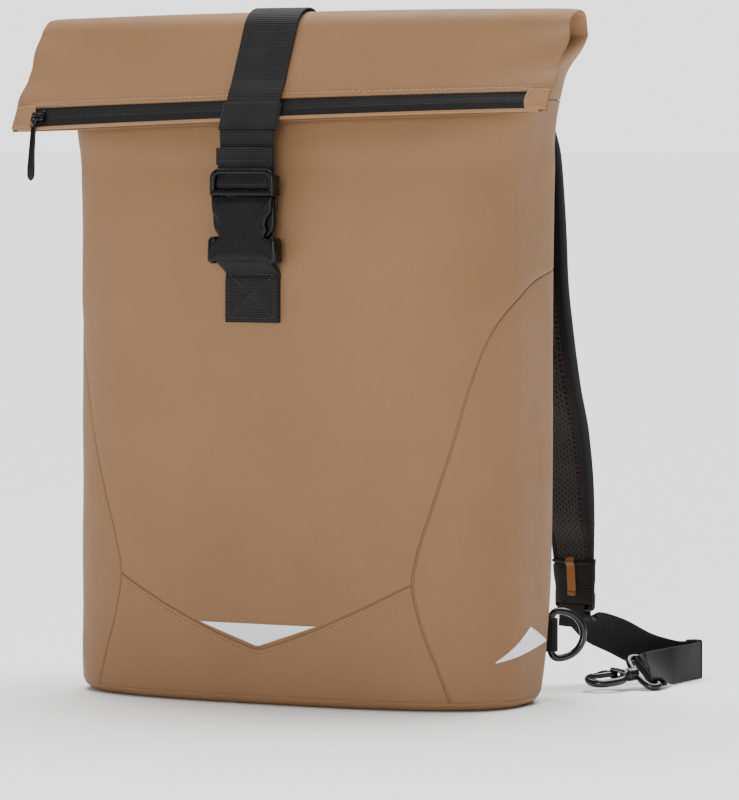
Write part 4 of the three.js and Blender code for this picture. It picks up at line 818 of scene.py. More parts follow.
def seam_stitches():
    """Rows of stitches: one below the V, and one above the zip."""
    share = np.linspace(-0.985, 0.985, 400)
    height = v_height(share * JUNCTION) - SEAM_GAP / 2 - V_STITCH_DROP
    around = share * (seam_around(mix(BASE_SEAM, V_END, 0.95)) - SEAM_SHARE) * 0.995
    stitches("v_stitches", off_skin(around, height, 0.35), skin_normal(around, height), THREAD,
             pitch=3.2, length=2.2, radius=0.34)
    across = np.linspace(-(HALF_ROLL - 6), HALF_ROLL - 6, 300)
    around = flap_around(across)
    along = np.full_like(across, ZIP_TOP - ZIP_STITCH_RISE)
    stitches("flap_stitches", off_skin(around, along, 0.15), skin_normal(around, along), THREAD,
             pitch=3.6, length=2.5, radius=0.36)


# Zip

ZIP_ENDS = {"right": 14.5, "left": 18.5}


def zip_band():
    """The coated tape let into the flap: two flat halves that meet in a low ridge with a fine groove."""
    across = np.linspace(-(HALF_ROLL - ZIP_ENDS["left"] + 3), HALF_ROLL - ZIP_ENDS["right"] + 3, 240)
    share = np.concatenate([[0, 0.015, 0.04, 0.08], np.linspace(0.12, 0.42, 8), np.linspace(0.45, 0.55, 21),
                            np.linspace(0.58, 0.88, 8), [0.92, 0.96, 0.985, 1.0]])
    s, x = np.meshgrid(share, across, indexing="ij")
    along = mix(ZIP_TOP + 0.3, ZIP_BOTTOM + 0.2, s)
    middle = np.abs(s - 0.5) * (ZIP_BOTTOM - ZIP_TOP)
    lift = 0.3 * np.exp(-((middle / 2.6) ** 2)) - 0.3 * np.exp(-((middle / 0.28) ** 2)) - 0.35
    teeth = 0.05 * np.exp(-((middle / 2.2) ** 2)) * np.sin(x * 2 * np.pi / 1.9)
    around = flap_around(x)
    outer = off_skin(around, along, lift + teeth)
    inner = off_skin(around, along, -1.3)
    points, faces, uv = wall(outer, inner)
    put_mesh("zip_band", points, faces, ZIP_LOOK, uv=uv, replaces=("zip_tape",), sharp=60)


def zip_lip():
    """The thin turned edge of leather under the zip, a slim bead along the mouth."""
    across = np.linspace(-(HALF_ROLL - 7), HALF_ROLL - 7, 200)
    around = flap_around(across)
    path = off_skin(around, np.full_like(across, MOUTH - 0.8), -0.5)
    bar("zip_lip", path, (0.0, -0.6, 0.8), circle(1.3, 14, 0.7), EDGE_LOOK, soft_end=1.2)


def zip_tabs():
    """A patch over each end of the zip, its corners rounded by drawing the rows in, with stitches round it."""
    for hand, side in HANDS:
        near, far = HALF_ROLL - ZIP_ENDS[hand], HALF_ROLL - 1.5
        upper, lower = ZIP_TOP - 1.6, ZIP_BOTTOM + 0.4
        share = np.concatenate([[0, 0.02, 0.05, 0.1], np.linspace(0.16, 0.84, 18), [0.9, 0.95, 0.98, 1]])
        s, t = np.meshgrid(share, share, indexing="ij")
        curve = 1.6 * np.sin(np.pi * s) * (1 - t)
        x = side * (mix(near, far, t) - curve)
        along = mix(upper, lower, s)
        edge = np.minimum(np.minimum(s, 1 - s) * 15, np.minimum(t, 1 - t) * 18)
        lift = 0.55 + np.sqrt(1 - np.clip(1 - edge / 1.1, 0, 1) ** 2) + 0.35 * np.sin(np.pi * s) * np.sin(np.pi * t)
        around = flap_around(x)
        points, faces, uv = wall(off_skin(around, along, lift), off_skin(around, along, 0.1))
        put_mesh(f"zip_tab_{hand}", points, faces, EDGE_LOOK, uv=uv, replaces=(f"zip_end_{hand}",), sharp=60)
        inner = np.array([(0.86, 0.1), (0.12, 0.12), (0.12, 0.88), (0.86, 0.9)])
        path = resample(inner, pitch=0.02)
        x = side * mix(near, far, path[:, 0])
        along = mix(upper, lower, path[:, 1])
        around = flap_around(x)
        stitches(f"zip_tab_stitches_{hand}", off_skin(around, along, 1.75), skin_normal(around, along), THREAD,
                 pitch=2.7, length=1.9, radius=0.22)


def zip_pull():
    """The slider, a low waisted block with a bridge, and the slim tongue that hangs from it."""
    place = -(HALF_ROLL - ZIP_ENDS["left"] - 6)
    around = flap_around(place)
    middle = (ZIP_TOP + ZIP_BOTTOM) / 2
    at = off_skin(around, middle, 1.5)
    normal = skin_normal(around, middle)
    down = unit(skin(around, middle + 3) - skin(around, middle - 3))
    across = np.cross(normal, down)
    t = np.linspace(-5, 5, 15)
    path = at + t[:, None] * across
    scale = 0.82 + 0.18 * np.abs(t / 5) ** 1.5
    bar("zip_slider_body", path, down, rounded(7.4, 2.6, 0.9), METAL, scale=scale, soft_end=0.8,
        replaces=("zip_slider",))
    arc = np.linspace(0.15, np.pi - 0.15, 15)
    bridge = at + normal * (0.9 + 1.7 * np.sin(arc))[:, None] + across * (3.6 * np.cos(arc))[:, None]
    bar("zip_slider_bridge", bridge, down, rounded(2.2, 0.9, 0.35), METAL)
    top = off_skin(around, ZIP_BOTTOM + 0.2, 3.6)
    share = np.linspace(0, 1, 40)
    path = top + np.stack([-0.07 * share * PULLER_LENGTH, -0.6 * np.sin(np.pi * share), -share * PULLER_LENGTH], 1)
    width = np.interp(share, *np.transpose([(0, 0.45), (0.06, 0.62), (0.12, 0.7), (0.3, 0.74), (0.6, 0.86), (0.8, 1),
                                            (0.92, 0.98), (0.98, 0.72), (1, 0.4)]))
    bar("zip_tongue", path, (1, 0, 0), rounded(PULLER_WIDTH, 2.2, 0.9), PLASTIC, scale=width, soft_end=0.6,
        replaces=("zip_puller",))
    link = np.linspace(0, 2 * np.pi, 28, endpoint=False)
    ring = top + np.stack([0 * link, 1.6 * np.cos(link) + 0.6, 2.6 * np.sin(link) + 1.4], 1)
    bar("zip_link", ring, (1, 0, 0), circle(0.55, 10), METAL, closed=True)


# The closing strap and its buckle

STRAP_OFF = CLEARANCE + WEBBING / 2
BUCKLE_Y = float(skin(0.0, TAB_BOTTOM)[1]) - 2 * WEBBING - BUCKLE_STAND_OFF - BUCKLE_THICKNESS / 2
PIN_HEIGHT, PIN_Y, LOOP = BUCKLE_TOP - FRAME_HEIGHT * 0.56, BUCKLE_Y + 0.8, 2 + STRAP_OFF
FRAME_BOTTOM = BUCKLE_TOP - FRAME_HEIGHT
HOUSING_TOP = FRAME_BOTTOM - CLEARANCE
HOUSING_BOTTOM = HOUSING_TOP - HOUSING_HEIGHT
STRAP_HEAD, STRAP_FOOT, KEEPER_PLACE = (
    off_skin(1.0, along, STRAP_OFF + 1.7) for along in (ZIP_TOP - 4, MOUTH + 10, MOUTH - 1))
TAIL_END = BUCKLE_TOP + 12
BAR_RADIUS = 2.4


def line(a, b, count):
    """Even points from a to b, without b."""
    return mix(np.asarray(a, float), np.asarray(b, float), np.linspace(0, 1, count, endpoint=False)[:, None])


def ribbon(name, stations, wide, width, look, thickness=WEBBING, pitch=1.3, side=1, **more):
    """Webbing through stations, each with the direction of its width, its edges rounded."""
    wide = np.broadcast_to(np.asarray(wide, float), np.shape(stations))
    path = resample(np.hstack([stations, wide]), pitch=pitch)
    bar(name, path[:, :3], path[:, 3:], rounded(width, thickness, thickness * 0.42, 3, 12), look, side=side, **more)
    return path


def closing_strap():
    """Over the fold, down the flap, round the buckle's pin, and its tail turned up in front."""
    along = np.linspace(COLLAR_HEIGHT + SEAM_GAP / 2, ZIP_TOP - 12, 60)
    behind = np.array([0, PIN_Y + LOOP, PIN_HEIGHT])
    turn = np.linspace(0, np.pi, 10)
    loop = np.stack([0 * turn, PIN_Y + LOOP * np.cos(turn), PIN_HEIGHT - LOOP * np.sin(turn)], 1)
    rail = np.array([0, BUCKLE_Y - 0.5, BUCKLE_TOP - 4.4])
    share = (STRAP_FOOT[2] - TAIL_END) / (STRAP_FOOT[2] - PIN_HEIGHT)
    tail = np.array([0, mix(STRAP_FOOT[1], behind[1], share) - WEBBING - CLEARANCE, TAIL_END])
    stations = np.vstack([
        off_skin(1.0, along, STRAP_OFF + 0.8), line(STRAP_HEAD, STRAP_FOOT, 8), line(STRAP_FOOT, behind, 8), loop,
        rail[None], rail[None] + (0, 0, 4.4), line(rail + (0, 0, 4.4), tail, 4)[1:], tail[None],
    ])
    ribbon("closing_strap_webbing", stations, (1, 0, 0), WIDE, WEBBING_LOOK, replaces=("closing_strap",))
    hem = np.array([tail + (0, -1.75, 1.2 - 10.5 * t) for t in np.linspace(0, 1, 9)])
    hem[:, 1] += 0.35 * np.sin(np.linspace(0, np.pi, 9))
    bar("strap_tail_hem", hem, (1, 0, 0), rounded(WIDE + 2.2, 1.9, 0.85, 3, 12), WEBBING_LOOK, soft_end=0.8)
    across = np.linspace(-WIDE / 2 + 2, WIDE / 2 - 2, 40)
    edge = np.stack([across, np.full(40, tail[1] - 2.7), np.full(40, TAIL_END - 6.8)], 1)
    stitches("tail_stitches", edge, np.tile([0.0, -1, 0], (40, 1)), BLACK_THREAD, pitch=2.6, length=1.9, radius=0.25)
    for name, out in (("strap_stitches_left", -1), ("strap_stitches_right", 1)):
        sewn = np.linspace(COLLAR_HEIGHT + 2, COLLAR_HEIGHT + 24, 30)
        path = off_skin(1.0, sewn, STRAP_OFF + 0.8 + WEBBING / 2) + (out * (WIDE / 2 - 3), 0, 0)
        stitches(name, path, skin_normal(1.0, sewn), BLACK_THREAD, pitch=2.6, length=1.9, radius=0.25)


def keeper():
    """A loop of webbing round the strap where it leaves the flap, a rounded rectangle in section."""
    up = unit(STRAP_HEAD - STRAP_FOOT)
    normal = np.array([0, -up[2], up[1]])
    outline = rounded(2 * (WIDE / 2 + 0.95), 2 * 1.5, 1.1, 4, 30)
    path = KEEPER_PLACE + outline[:, :1] * (1, 0, 0) + outline[:, 1:] * normal
    bar("keeper_band", path, up, rounded(KEEPER_HEIGHT, 1.05, 0.45, 3, 8), WEBBING_LOOK, closed=True,
        replaces=("strap_keeper",))


def housing_half(z):
    """Half the housing's width at a height: a taper by a square law for 26 mm, then shoulders by a smooth
    step, and the waist's round notch, a circle of radius 8, taken out of both."""
    half = BUCKLE_WIDTH / 2
    t = np.clip((HOUSING_TOP - z) / 26, 0, 1)
    upper = (1 - t) ** 2 * (half - 1) + 2 * t * (1 - t) * (half - 0.5) + t**2 * (half - 6.5)
    lower = mix(half - 6.5, half + 0.5, smooth((HOUSING_TOP - 25 - z) / 6))
    notch = half + 2.5 - np.sqrt(np.clip(64 - (z - HOUSING_TOP + 17.5) ** 2, 0, 64))
    return np.minimum(np.where(HOUSING_TOP - z > 25, lower, upper), notch)


def buckle():
    """Both halves: a U of rounded bar with a pin, two arms in the waist, and a crowned housing."""
    gap = WIDE / 2 + 0.4
    outer = gap + 1.7
    turn = np.linspace(0, np.pi / 2, 8)
    front = BUCKLE_Y - 3.3
    corner = np.stack([outer - 5 + 5 * np.cos(turn), np.full(8, front), BUCKLE_TOP - 6.7 + 5 * np.sin(turn)], 1)
    leg = np.array([(outer, front, z) for z in np.linspace(FRAME_BOTTOM + 1, BUCKLE_TOP - 8, 6)])
    half = np.vstack([leg, corner])
    path = resample(np.vstack([half, half[::-1] * (-1, 1, 1)]), pitch=0.9)
    bar("buckle_frame", path, (0, 1, 0), rounded(3.6, 3.9, 1.4, 5, 3), PLASTIC, replaces=("buckle_male",))
    for hand, side in HANDS:
        rail = np.array([(outer, BUCKLE_Y, z) for z in np.linspace(FRAME_BOTTOM + 0.6, BUCKLE_TOP - 5, 8)])
        bar(f"buckle_side_{hand}", rail, (0, 1, 0), rounded(10.6, 3.0, 1.2, 4, 4), PLASTIC, side=side, soft_end=1.2)
        x, out, foot = 16.8, BUCKLE_WIDTH / 2 - 0.2, FRAME_BOTTOM
        arm = np.array([(x - 2, foot + 1), (x + 2.5, foot + 1), (out - 0.9, foot - 6), (out - 0.2, foot - 15),
                        (out - 1.6, foot - 22), (out - 6, foot - 27), (x - 3, foot - 25), (x - 1.5, foot - 12)])
        arm = resample(arm, pitch=0.8, closed=True)
        plate(f"buckle_arm_{hand}", arm, 4.8, (0, BUCKLE_Y, 0), PLASTIC, rounding=1.1, side=side)
        cheek = rounded(5.6, 17.5, 2.7, 6, 4) + (gap + 1.2, HOUSING_BOTTOM + 4.6)
        cheek[:, 0] += 1.9 * np.cos((cheek[:, 1] - HOUSING_BOTTOM - 3) / 6.5)
        plate(f"buckle_cheek_{hand}", cheek, BUCKLE_THICKNESS, (0, BUCKLE_Y, 0), PLASTIC, rounding=2.0, crown=0.2,
              side=side)
    across = np.linspace(-outer, outer, 30)
    lower = np.stack([across, np.full(30, BUCKLE_Y), np.full(30, FRAME_BOTTOM + 2.1)], 1)
    bar("buckle_rail", lower, (0, 1, 0), rounded(10.6, 4.2, 1.4, 4, 4), PLASTIC)
    bar("buckle_pin", np.stack([across, np.full(30, PIN_Y), np.full(30, PIN_HEIGHT)], 1), (0, 1, 0), circle(2.0, 20),
        PLASTIC)
    for name, depth, foot_at, more in (
            ("buckle_face", -4.15, HOUSING_BOTTOM - 2.6, {"replaces": ("buckle_female",)}),
            ("buckle_back", 4.15, HOUSING_BOTTOM + 7.2, {})):
        z = np.concatenate([np.linspace(HOUSING_TOP, HOUSING_TOP - 27, 60),
                            np.linspace(HOUSING_TOP - 27.5, foot_at, 12)])
        right = np.stack([housing_half(z), z], 1)
        top = np.stack([np.linspace(-1, 1, 16)[1:-1] * (BUCKLE_WIDTH / 2 - 1), np.full(14, HOUSING_TOP)], 1)
        foot = np.linspace(1, -1, 16)[1:-1]
        bottom = np.stack([foot * right[-1, 0], np.full(14, z[-1]) + 0.8 * (1 - foot**2)], 1)
        outline = resample(np.vstack([top, right, bottom, right[::-1] * (-1, 1)]), count=220, closed=True)
        plate(name, outline, 2.7, (0, BUCKLE_Y + depth, 0), PLASTIC, rounding=0.95, **more)
    high, low = HOUSING_TOP - 28, HOUSING_BOTTOM + 8.2
    block = np.array([(-17, high), (17, high), (18.5, low), (-18.5, low)])
    plate("buckle_block", resample(block, count=60, closed=True), 8.2, (0, BUCKLE_Y, 0), PLASTIC, rounding=0.6)
    bar("buckle_bar", np.stack([across, np.full(30, BUCKLE_Y), np.full(30, HOUSING_BOTTOM)], 1), (0, 1, 0),
        circle(BAR_RADIUS, 20), PLASTIC)


def buckle_tab():
    """The tab sewn to the front: up, round the housing's bar and down over itself, sewn in a crossed box."""
    reach = BAR_RADIUS + STRAP_OFF
    sewn = HOUSING_BOTTOM - 10

    def face(z, layer):
        points = skin(np.zeros_like(z), z)
        return points - (0, 1.1 * STRAP_OFF + layer * (WEBBING + CLEARANCE), 0)

    turn = np.linspace(-0.2 * np.pi, 1.28 * np.pi, 16)
    loop = np.stack([0 * turn, BUCKLE_Y + reach * np.cos(turn), HOUSING_BOTTOM + reach * np.sin(turn)], 1)
    stations = np.vstack([face(np.linspace(TAB_BOTTOM, sewn, 9), 0), loop, face(np.linspace(sewn, TAB_BOTTOM, 9), 1)])
    ribbon("tab_webbing", stations, (1, 0, 0), WIDE, WEBBING_LOOK, replaces=("buckle_tab",))
    low, high, x = TAB_BOTTOM + 3, sewn - 1, WIDE / 2 - 3
    rows = {"box": [(-x, low), (x, low), (x, high), (-x, high), (-x, low)], "cross_a": [(-x, low), (x, high)],
            "cross_b": [(x, low), (-x, high)]}
    for name, corners in rows.items():
        corners = np.array(corners, float)
        path = np.vstack([line(a, b, 40) for a, b in zip(corners, corners[1:])])
        points = face(path[:, 1], 1) + (0, -WEBBING / 2, 0)
        points[:, 0] = path[:, 0]
        stitches(f"tab_{name}", points, np.tile([0.0, -1, 0], (len(points), 1)), BLACK_THREAD,
                 pitch=2.5, length=1.9, radius=0.3)


# Reflectors

def film(name, near, far, tip, replaces, rows=44, columns=60, off=0.95, side=1):
    """A thin triangle on the skin between two corners and a tip, given as [way round, height], its rim
    rounded by drawing the outer face down by a square root near the edges."""
    s = np.concatenate([[0, 0.01, 0.03], np.linspace(0.06, 0.97, rows)])
    t = np.concatenate([[0, 0.006, 0.02], np.linspace(0.04, 0.96, columns), [0.98, 0.994, 1]])
    down, across = np.meshgrid(s, t, indexing="ij")
    low = [mix(near[k], tip[k], down) for k in range(2)]
    high = [mix(far[k], tip[k], down) for k in range(2)]
    around, height = mix(low[0], high[0], across), mix(low[1], high[1], across)
    edge = np.minimum(np.minimum(down, 1 - down) * 20, np.minimum(across, 1 - across) * 60 * (1.02 - down))
    lift = off + 0.3 - 0.3 * (1 - np.sqrt(np.clip(1 - np.clip(1 - edge / 0.4, 0, 1) ** 2, 0, 1)))
    outer, inner = off_skin(around, height, lift), off_skin(around, height, off - 0.45)
    points, faces, uv = wall(outer * (side, 1, 1), inner * (side, 1, 1))
    put_mesh(name, points, faces, FILM, uv=uv, replaces=replaces, sharp=50)


def reflectors():
    """One at the V's tip on the front, and one low on each side."""
    top = float(v_height(0.108)) + 1.7
    film("front_film", (-0.108, top), (0.108, top), (0, V_TIP + 1.7), ("front_reflector",), off=0.75)
    for hand, side in HANDS:
        film(f"side_film_{hand}", (0.57, 41), (0.504, 52), (0.405, 31), (f"side_reflector_{hand}",), side=side,
             off=0.85)


# Shoulder straps

def back_face(across, height):
    """The depth of the back panel at a place across and a height, found by halving the way round."""
    low, high = np.full_like(across, 0.5), np.ones_like(across)
    for _ in range(26):
        middle = (low + high) / 2
        outside = skin(middle, height)[..., 0] > across
        low, high = np.where(outside, middle, low), np.where(outside, high, middle)
    return skin(high, height)[..., 1]


def strap_frame(height):
    """The middle line, width direction, width and thickness of the shoulder strap at shares of its height."""
    height = np.atleast_1d(np.asarray(height, float))
    bulge, wide, twist, thick = (from_table(STRAP_ROWS, k, height) for k in (1, 2, 3, 4))
    z = mix(STRAP_END, COLLAR_HEIGHT - 3, height)
    width, angle = wide * STRAP_WIDTH, np.radians(twist * STRAP_TWIST)
    across = np.stack([np.cos(angle), -np.sin(angle), 0 * angle], 1)
    edge = HALF_BODY - STRAP_INSET
    away = back_face(edge - width * 0.7, z) + CLEARANCE + 0.6 + STRAP_THICKNESS / 2
    middle = np.stack([edge - width / 2 * np.cos(angle), away + bulge * STRAP_BULGE, z], 1)
    middle[:, 1] -= (1 - thick) * STRAP_THICKNESS * smooth((height - 0.9) / 0.1) / 2
    return middle, across, width, thick * STRAP_THICKNESS


def to_front(through):
    """The directions through the strap, each turned to the side that the photo shows, towards -Y."""
    return through * np.where(through[:, 1:2] < 0, 1.0, -1.0)


def strap_shell(height, outline, grow=0.0):
    """Rings of a section given as shares of the strap's half width and half thickness, carried down it."""
    middle, across, width, thickness = strap_frame(height)
    wide, through, _ = frames_along(middle, across)
    through = to_front(through)
    u, w = outline[:, 0][None, :, None], outline[:, 1][None, :, None]
    return (middle[:, None] + wide[:, None] * u * (width / 2 + grow)[:, None, None]
            + through[:, None] * w * (thickness / 2 + grow)[:, None, None])


def pad_outline(count=44):
    """A pad's section: cos^0.62 across and sin^0.8 through it, thin at its bound edges, full between."""
    angle = np.linspace(0, 2 * np.pi, 2 * count, endpoint=False)
    u = np.sign(np.cos(angle)) * np.abs(np.cos(angle)) ** 0.62
    w = np.sign(np.sin(angle)) * np.abs(np.sin(angle)) ** 0.8
    valley = 1 - 0.45 * smooth((np.abs(u) - 0.62) / 0.12)
    return np.stack([u, w * valley], 1)


def shoulder_strap(hand, side):
    """The padded band: spacer mesh between two bound edges, a sewn seam, a smooth end and its brown strip."""
    rows = np.concatenate([np.linspace(0, 0.16, 24), np.linspace(0.17, 1, 130)])
    rings = strap_shell(rows, pad_outline())
    ripple = 0.22 * np.sin(rows * 61 + 0.7)[:, None, None] * np.array([0.3, 1.0, 0.2])
    points, faces, uv = loft(round_ends(rings + ripple, 1.2) * (side, 1, 1))
    pad = put_mesh(f"strap_pad_{hand}", points, faces, SPACER_LOOK, uv=uv, replaces=(f"shoulder_strap_{hand}",),
                   sharp=70)
    middle, across, width, thickness = strap_frame(rows)
    wide, through, _ = frames_along(middle, across)
    full, facing = np.clip(thickness / STRAP_THICKNESS, 0.45, 1), to_front(through)
    for name, way in (("outer", 1), ("inner", -1)):
        path = middle + wide * (way * (width / 2 - 4.4))[:, None]
        bar(f"strap_binding_{name}_{hand}", path, wide, rounded(9.4, 7.4, 2.6, 4, 5), BINDING_LOOK,
            scale=full, side=side, soft_end=1.0)
        sewn = middle + wide * (way * (width / 2 - 7.6))[:, None] + facing * (3.8 * full)[:, None]
        stitches(f"strap_stitches_{name}_{hand}", (sewn * (side, 1, 1))[8:-6], (facing * (side, 1, 1))[8:-6],
                 BLACK_THREAD, pitch=3.0, length=2.2, radius=0.24)
    cover_rows = np.linspace(-0.03, 0.054, 40)
    outline = rounded(2, 2, 0.62, 6, 20)
    outline = np.stack([np.clip(outline[:, 0], -1, 1), outline[:, 1] * (1 - 0.25 * np.abs(outline[:, 0]) ** 6)], 1)
    cover = strap_shell(cover_rows, outline, 0.75)
    cover = cover + (0.25 * np.sin(cover_rows * 130)[:, None, None] * np.array([0.2, 1, 0]))
    points, faces, uv = loft(round_ends(cover, 0.8) * (side, 1, 1))
    put_mesh(f"strap_end_{hand}", points, faces, BINDING_LOOK, uv=uv, sharp=70)
    at, wide_at, breadth, deep = strap_frame(0.054)
    _, through_at, _ = frames_along(np.vstack([at, at + (0, 0, 1)]), np.vstack([wide_at, wide_at]))
    facing = to_front(through_at[:1])
    t = np.linspace(-1, 1, 40)[:, None]
    seam = at + wide_at * t * (breadth / 2 - 1.5) + facing * (deep[0] / 2 * (1 - 0.25 * np.abs(t) ** 4) + 0.8)
    bar(f"strap_seam_{hand}", seam, (0, 0, 1), circle(1.1, 12, 0.7), BINDING_LOOK, side=side, soft_end=0.7)
    rows = np.linspace(-0.014, 0.062, 40)
    middle, across, width, thickness = strap_frame(rows)
    wide, through, _ = frames_along(middle, across)
    facing = to_front(through)
    path = middle + facing * (thickness / 2 + 1.15 + 0.9 * np.exp(-(((rows - 0.054) / 0.005) ** 2)))[:, None]
    bar(f"accent_strip_{hand}", path, wide, rounded(8.0, 1.0, 0.4, 3, 6), ACCENT, side=side, soft_end=0.6,
        replaces=(f"strap_accent_{hand}",))
    for name, place in (("top", 0.054), ("foot", -0.009)):
        at = int(np.argmin(np.abs(rows - place)))
        x = np.linspace(-3.6, 3.6, 12)[:, None]
        tack = path[at] + wide[at] * x + facing[at] * 0.6
        bar(f"accent_tack_{name}_{hand}", tack, (0, 0, 1), circle(0.45, 8), BLACK_THREAD, side=side, soft_end=0.3)


STRAP_END_AT, STRAP_END_ACROSS, STRAP_END_WIDTH, _ = (v[0] for v in strap_frame(0.0))


def lock(hand, side):
    """The ladder lock at the strap's end: a rounded frame of rounded bar."""
    half = STRAP_END_WIDTH / 2 + 1
    turned_axis = np.array([STRAP_END_ACROSS, (-STRAP_END_ACROSS[1], STRAP_END_ACROSS[0], 0), (0, 0, 1)])
    outline = rounded(half * 2 - 3.2, 11.6, 2.2, 6, 20) + (0, -7.2)
    path = np.stack([outline[:, 0], 0 * outline[:, 0], outline[:, 1]], 1) @ turned_axis + STRAP_END_AT
    bar(f"lock_frame_{hand}", path, turned_axis[1], rounded(3.6, 3.0, 1.2, 4, 2), PLASTIC, closed=True, side=side,
        replaces=(f"ladder_lock_{hand}",))


# Webbing, ring and hook behind the bag

FLAT_HEIGHT = NARROW / 2 + 0.3
# Along the trailing webbing: its place past the strap's end and its height, as shares of the span, and the
# direction of its width
WEBBING_ROUTE = np.array([
    (0.02, 0.09, 0.44, 0.86, -0.3, 0.4), (0.09, 0.17, 0.38, 0.6, 0, 0.8), (0.19, 0.29, 0.315, 0.3, 0.05, 0.95),
    (0.3, 0.5, 0.205, 0.15, 0.1, 1), (0.41, 0.7, 0.14, 0.05, 0, 1), (0.47, 0.81, 0, 0, 0, 1), (0.5, 0.85, 0, 0, 0, 1),
    (0.54, 0.85, 0, 0, 0, 1), (0.565, 0.81, 0, 0, 0, 1), (0.57, 0.72, 0, 0, 0, 1), (0.57, 0.58, 0, 0, 0, 1),
    (0.56, 0.42, 0, -0.1, 0.1, 1), (0.545, 0.28, 0, -0.35, 0.3, 0.9),
])
HOOK_ALONG = unit(np.array([-0.58, -0.81, -0.1]))
LEVEL = unit(np.array([HOOK_ALONG[1], -HOOK_ALONG[0], 0]))
UPRIGHT = np.cross(LEVEL, HOOK_ALONG)


def leaned(lean):
    """The hook's own axes, turned about its length: along it, out of its face, and across it."""
    a = np.radians(lean)
    across = LEVEL * np.cos(a) + UPRIGHT * np.sin(a)
    return np.array([HOOK_ALONG, np.cross(across, HOOK_ALONG), across])


EYE_AXES, HOOK_AXES = leaned(EYE_LEAN), leaned(HOOK_LEAN)
EYE_BAR = np.array([STRAP_END_AT[0] + 51, STRAP_END_AT[1] + 6,
                    (EYE_WIDTH / 2 - EYE_WIRE) * np.sin(np.radians(EYE_LEAN)) + EYE_WIRE + 0.6])


def at_hook(axes, along, across, out=0.0):
    """Points of the hook's own frame: distances along it, across it and out of its face."""
    along, across, out = np.broadcast_arrays(*(np.asarray(v, float) for v in (along, across, out)))
    return EYE_BAR + np.stack([along, out, across], -1) @ axes


def trailing_webbing(hand, side):
    """Narrow webbing: a loop round the lock, down to the floor on its edge, back on itself, round the eye."""
    a = np.radians(STRAP_TWIST)
    normal = np.array([np.sin(a), np.cos(a), 0])
    low, off = STRAP_END - 14, 1.8 + STRAP_OFF
    local = lambda n, z: np.array([STRAP_END_AT[0] + normal[0] * n, STRAP_END_AT[1] + normal[1] * n, z])
    near = np.array([
        local(-off - 0.6, low - 12), local(-off, low + 1), local(-off, low + 2.8), local(-off * 0.6, low + 4.2),
        local(off * 0.6, low + 4.2), local(off, low + 2.8), local(off, low - 1), local(off + 0.6, low - 5)])
    route = WEBBING_ROUTE[:, :3] * TRAIL_SPAN + (STRAP_END_AT[0], STRAP_END_AT[1], 0)
    route[:, 2] = np.maximum(route[:, 2], FLAT_HEIGHT)
    reach = EYE_WIRE + STRAP_OFF + 0.4
    turn = np.linspace(0.6 * np.pi, -0.62 * np.pi, 11)
    loop = at_hook(EYE_AXES, reach * np.cos(turn), 0 * turn, reach * np.sin(turn))
    tail = at_hook(EYE_AXES, -9, 0, -reach * 0.9)[None]
    stations = np.vstack([near, route, loop, tail])
    wide = np.vstack([np.tile(STRAP_END_ACROSS, (8, 1)), WEBBING_ROUTE[:, 3:], np.tile(EYE_AXES[2], (12, 1))])
    hem = resample(route[5:9] + (0, 0, 0.4), pitch=1.0)
    bar(f"trailing_hem_{hand}", hem, (0, 0, 1), rounded(NARROW + 1.2, 3.4, 1.0, 3, 10), WEBBING_LOOK, side=side,
        soft_end=0.8)
    ribbon(f"trailing_webbing_{hand}", stations, unit(wide), NARROW, WEBBING_LOOK, pitch=1.2, side=side,
           replaces=(f"hook_webbing_{hand}",))


def d_outline(height, depth, corner, fullness=1.0):
    """A D: a straight bar with rounded corners and a half round whose cosine is raised to a power."""
    half = height / 2
    first, middle = np.linspace(np.pi, np.pi / 2, 8), np.linspace(np.pi / 2, -np.pi / 2, 40)
    last = np.linspace(-np.pi / 2, -np.pi, 8)
    top = np.stack([corner + corner * np.cos(first), half - corner + corner * np.sin(first)], 1)
    bow = np.stack([corner + (depth - corner) * np.maximum(np.cos(middle), 0) ** fullness, half * np.sin(middle)], 1)
    foot = np.stack([corner + corner * np.cos(last), -half + corner + corner * np.sin(last)], 1)
    return resample(np.vstack([top, bow[1:-1], foot]), pitch=0.9, closed=True)


def ring_and_loop(hand, side):
    """The D of coated wire, and the loop of webbing that holds it in the back seam."""
    a = np.radians(RING_HEADING)
    out, up = np.array([np.cos(a), np.sin(a), 0]), np.array([0, 0, 1.0])
    sideways = np.array([-np.sin(a), np.cos(a), 0])
    centre = skin(BACK_SEAM, RING_CENTRE) + out * RING_STAND_OFF
    outline = d_outline(RING_HEIGHT - 2 * RING_WIRE, RING_DEPTH - 2 * RING_WIRE, 5)
    path = centre + outline[:, :1] * out + outline[:, 1:] * up
    bar(f"ring_wire_{hand}", path, sideways, circle(RING_WIRE, 20), METAL, closed=True, side=side,
        replaces=(f"d_ring_{hand}",))
    root, hole = RING_STAND_OFF - CLEARANCE - 1.8, RING_WIRE + 0.45 + WEBBING / 2
    turn = np.linspace(-np.pi / 2, np.pi / 2, 12)
    shape = np.vstack([[(-root - 1.2, -0.85), (-4.3, -1.1)], np.stack([hole * np.cos(turn), hole * np.sin(turn)], 1),
                       [(-4.3, 1.1), (-root - 1.2, 0.85)]])
    stations = centre + shape[:, :1] * out + shape[:, 1:] * sideways
    ribbon(f"ring_loop_{hand}", stations, up, NARROW - 3, WEBBING_LOOK, thickness=1.5, pitch=0.7, side=side,
           replaces=(f"ring_tab_{hand}",))


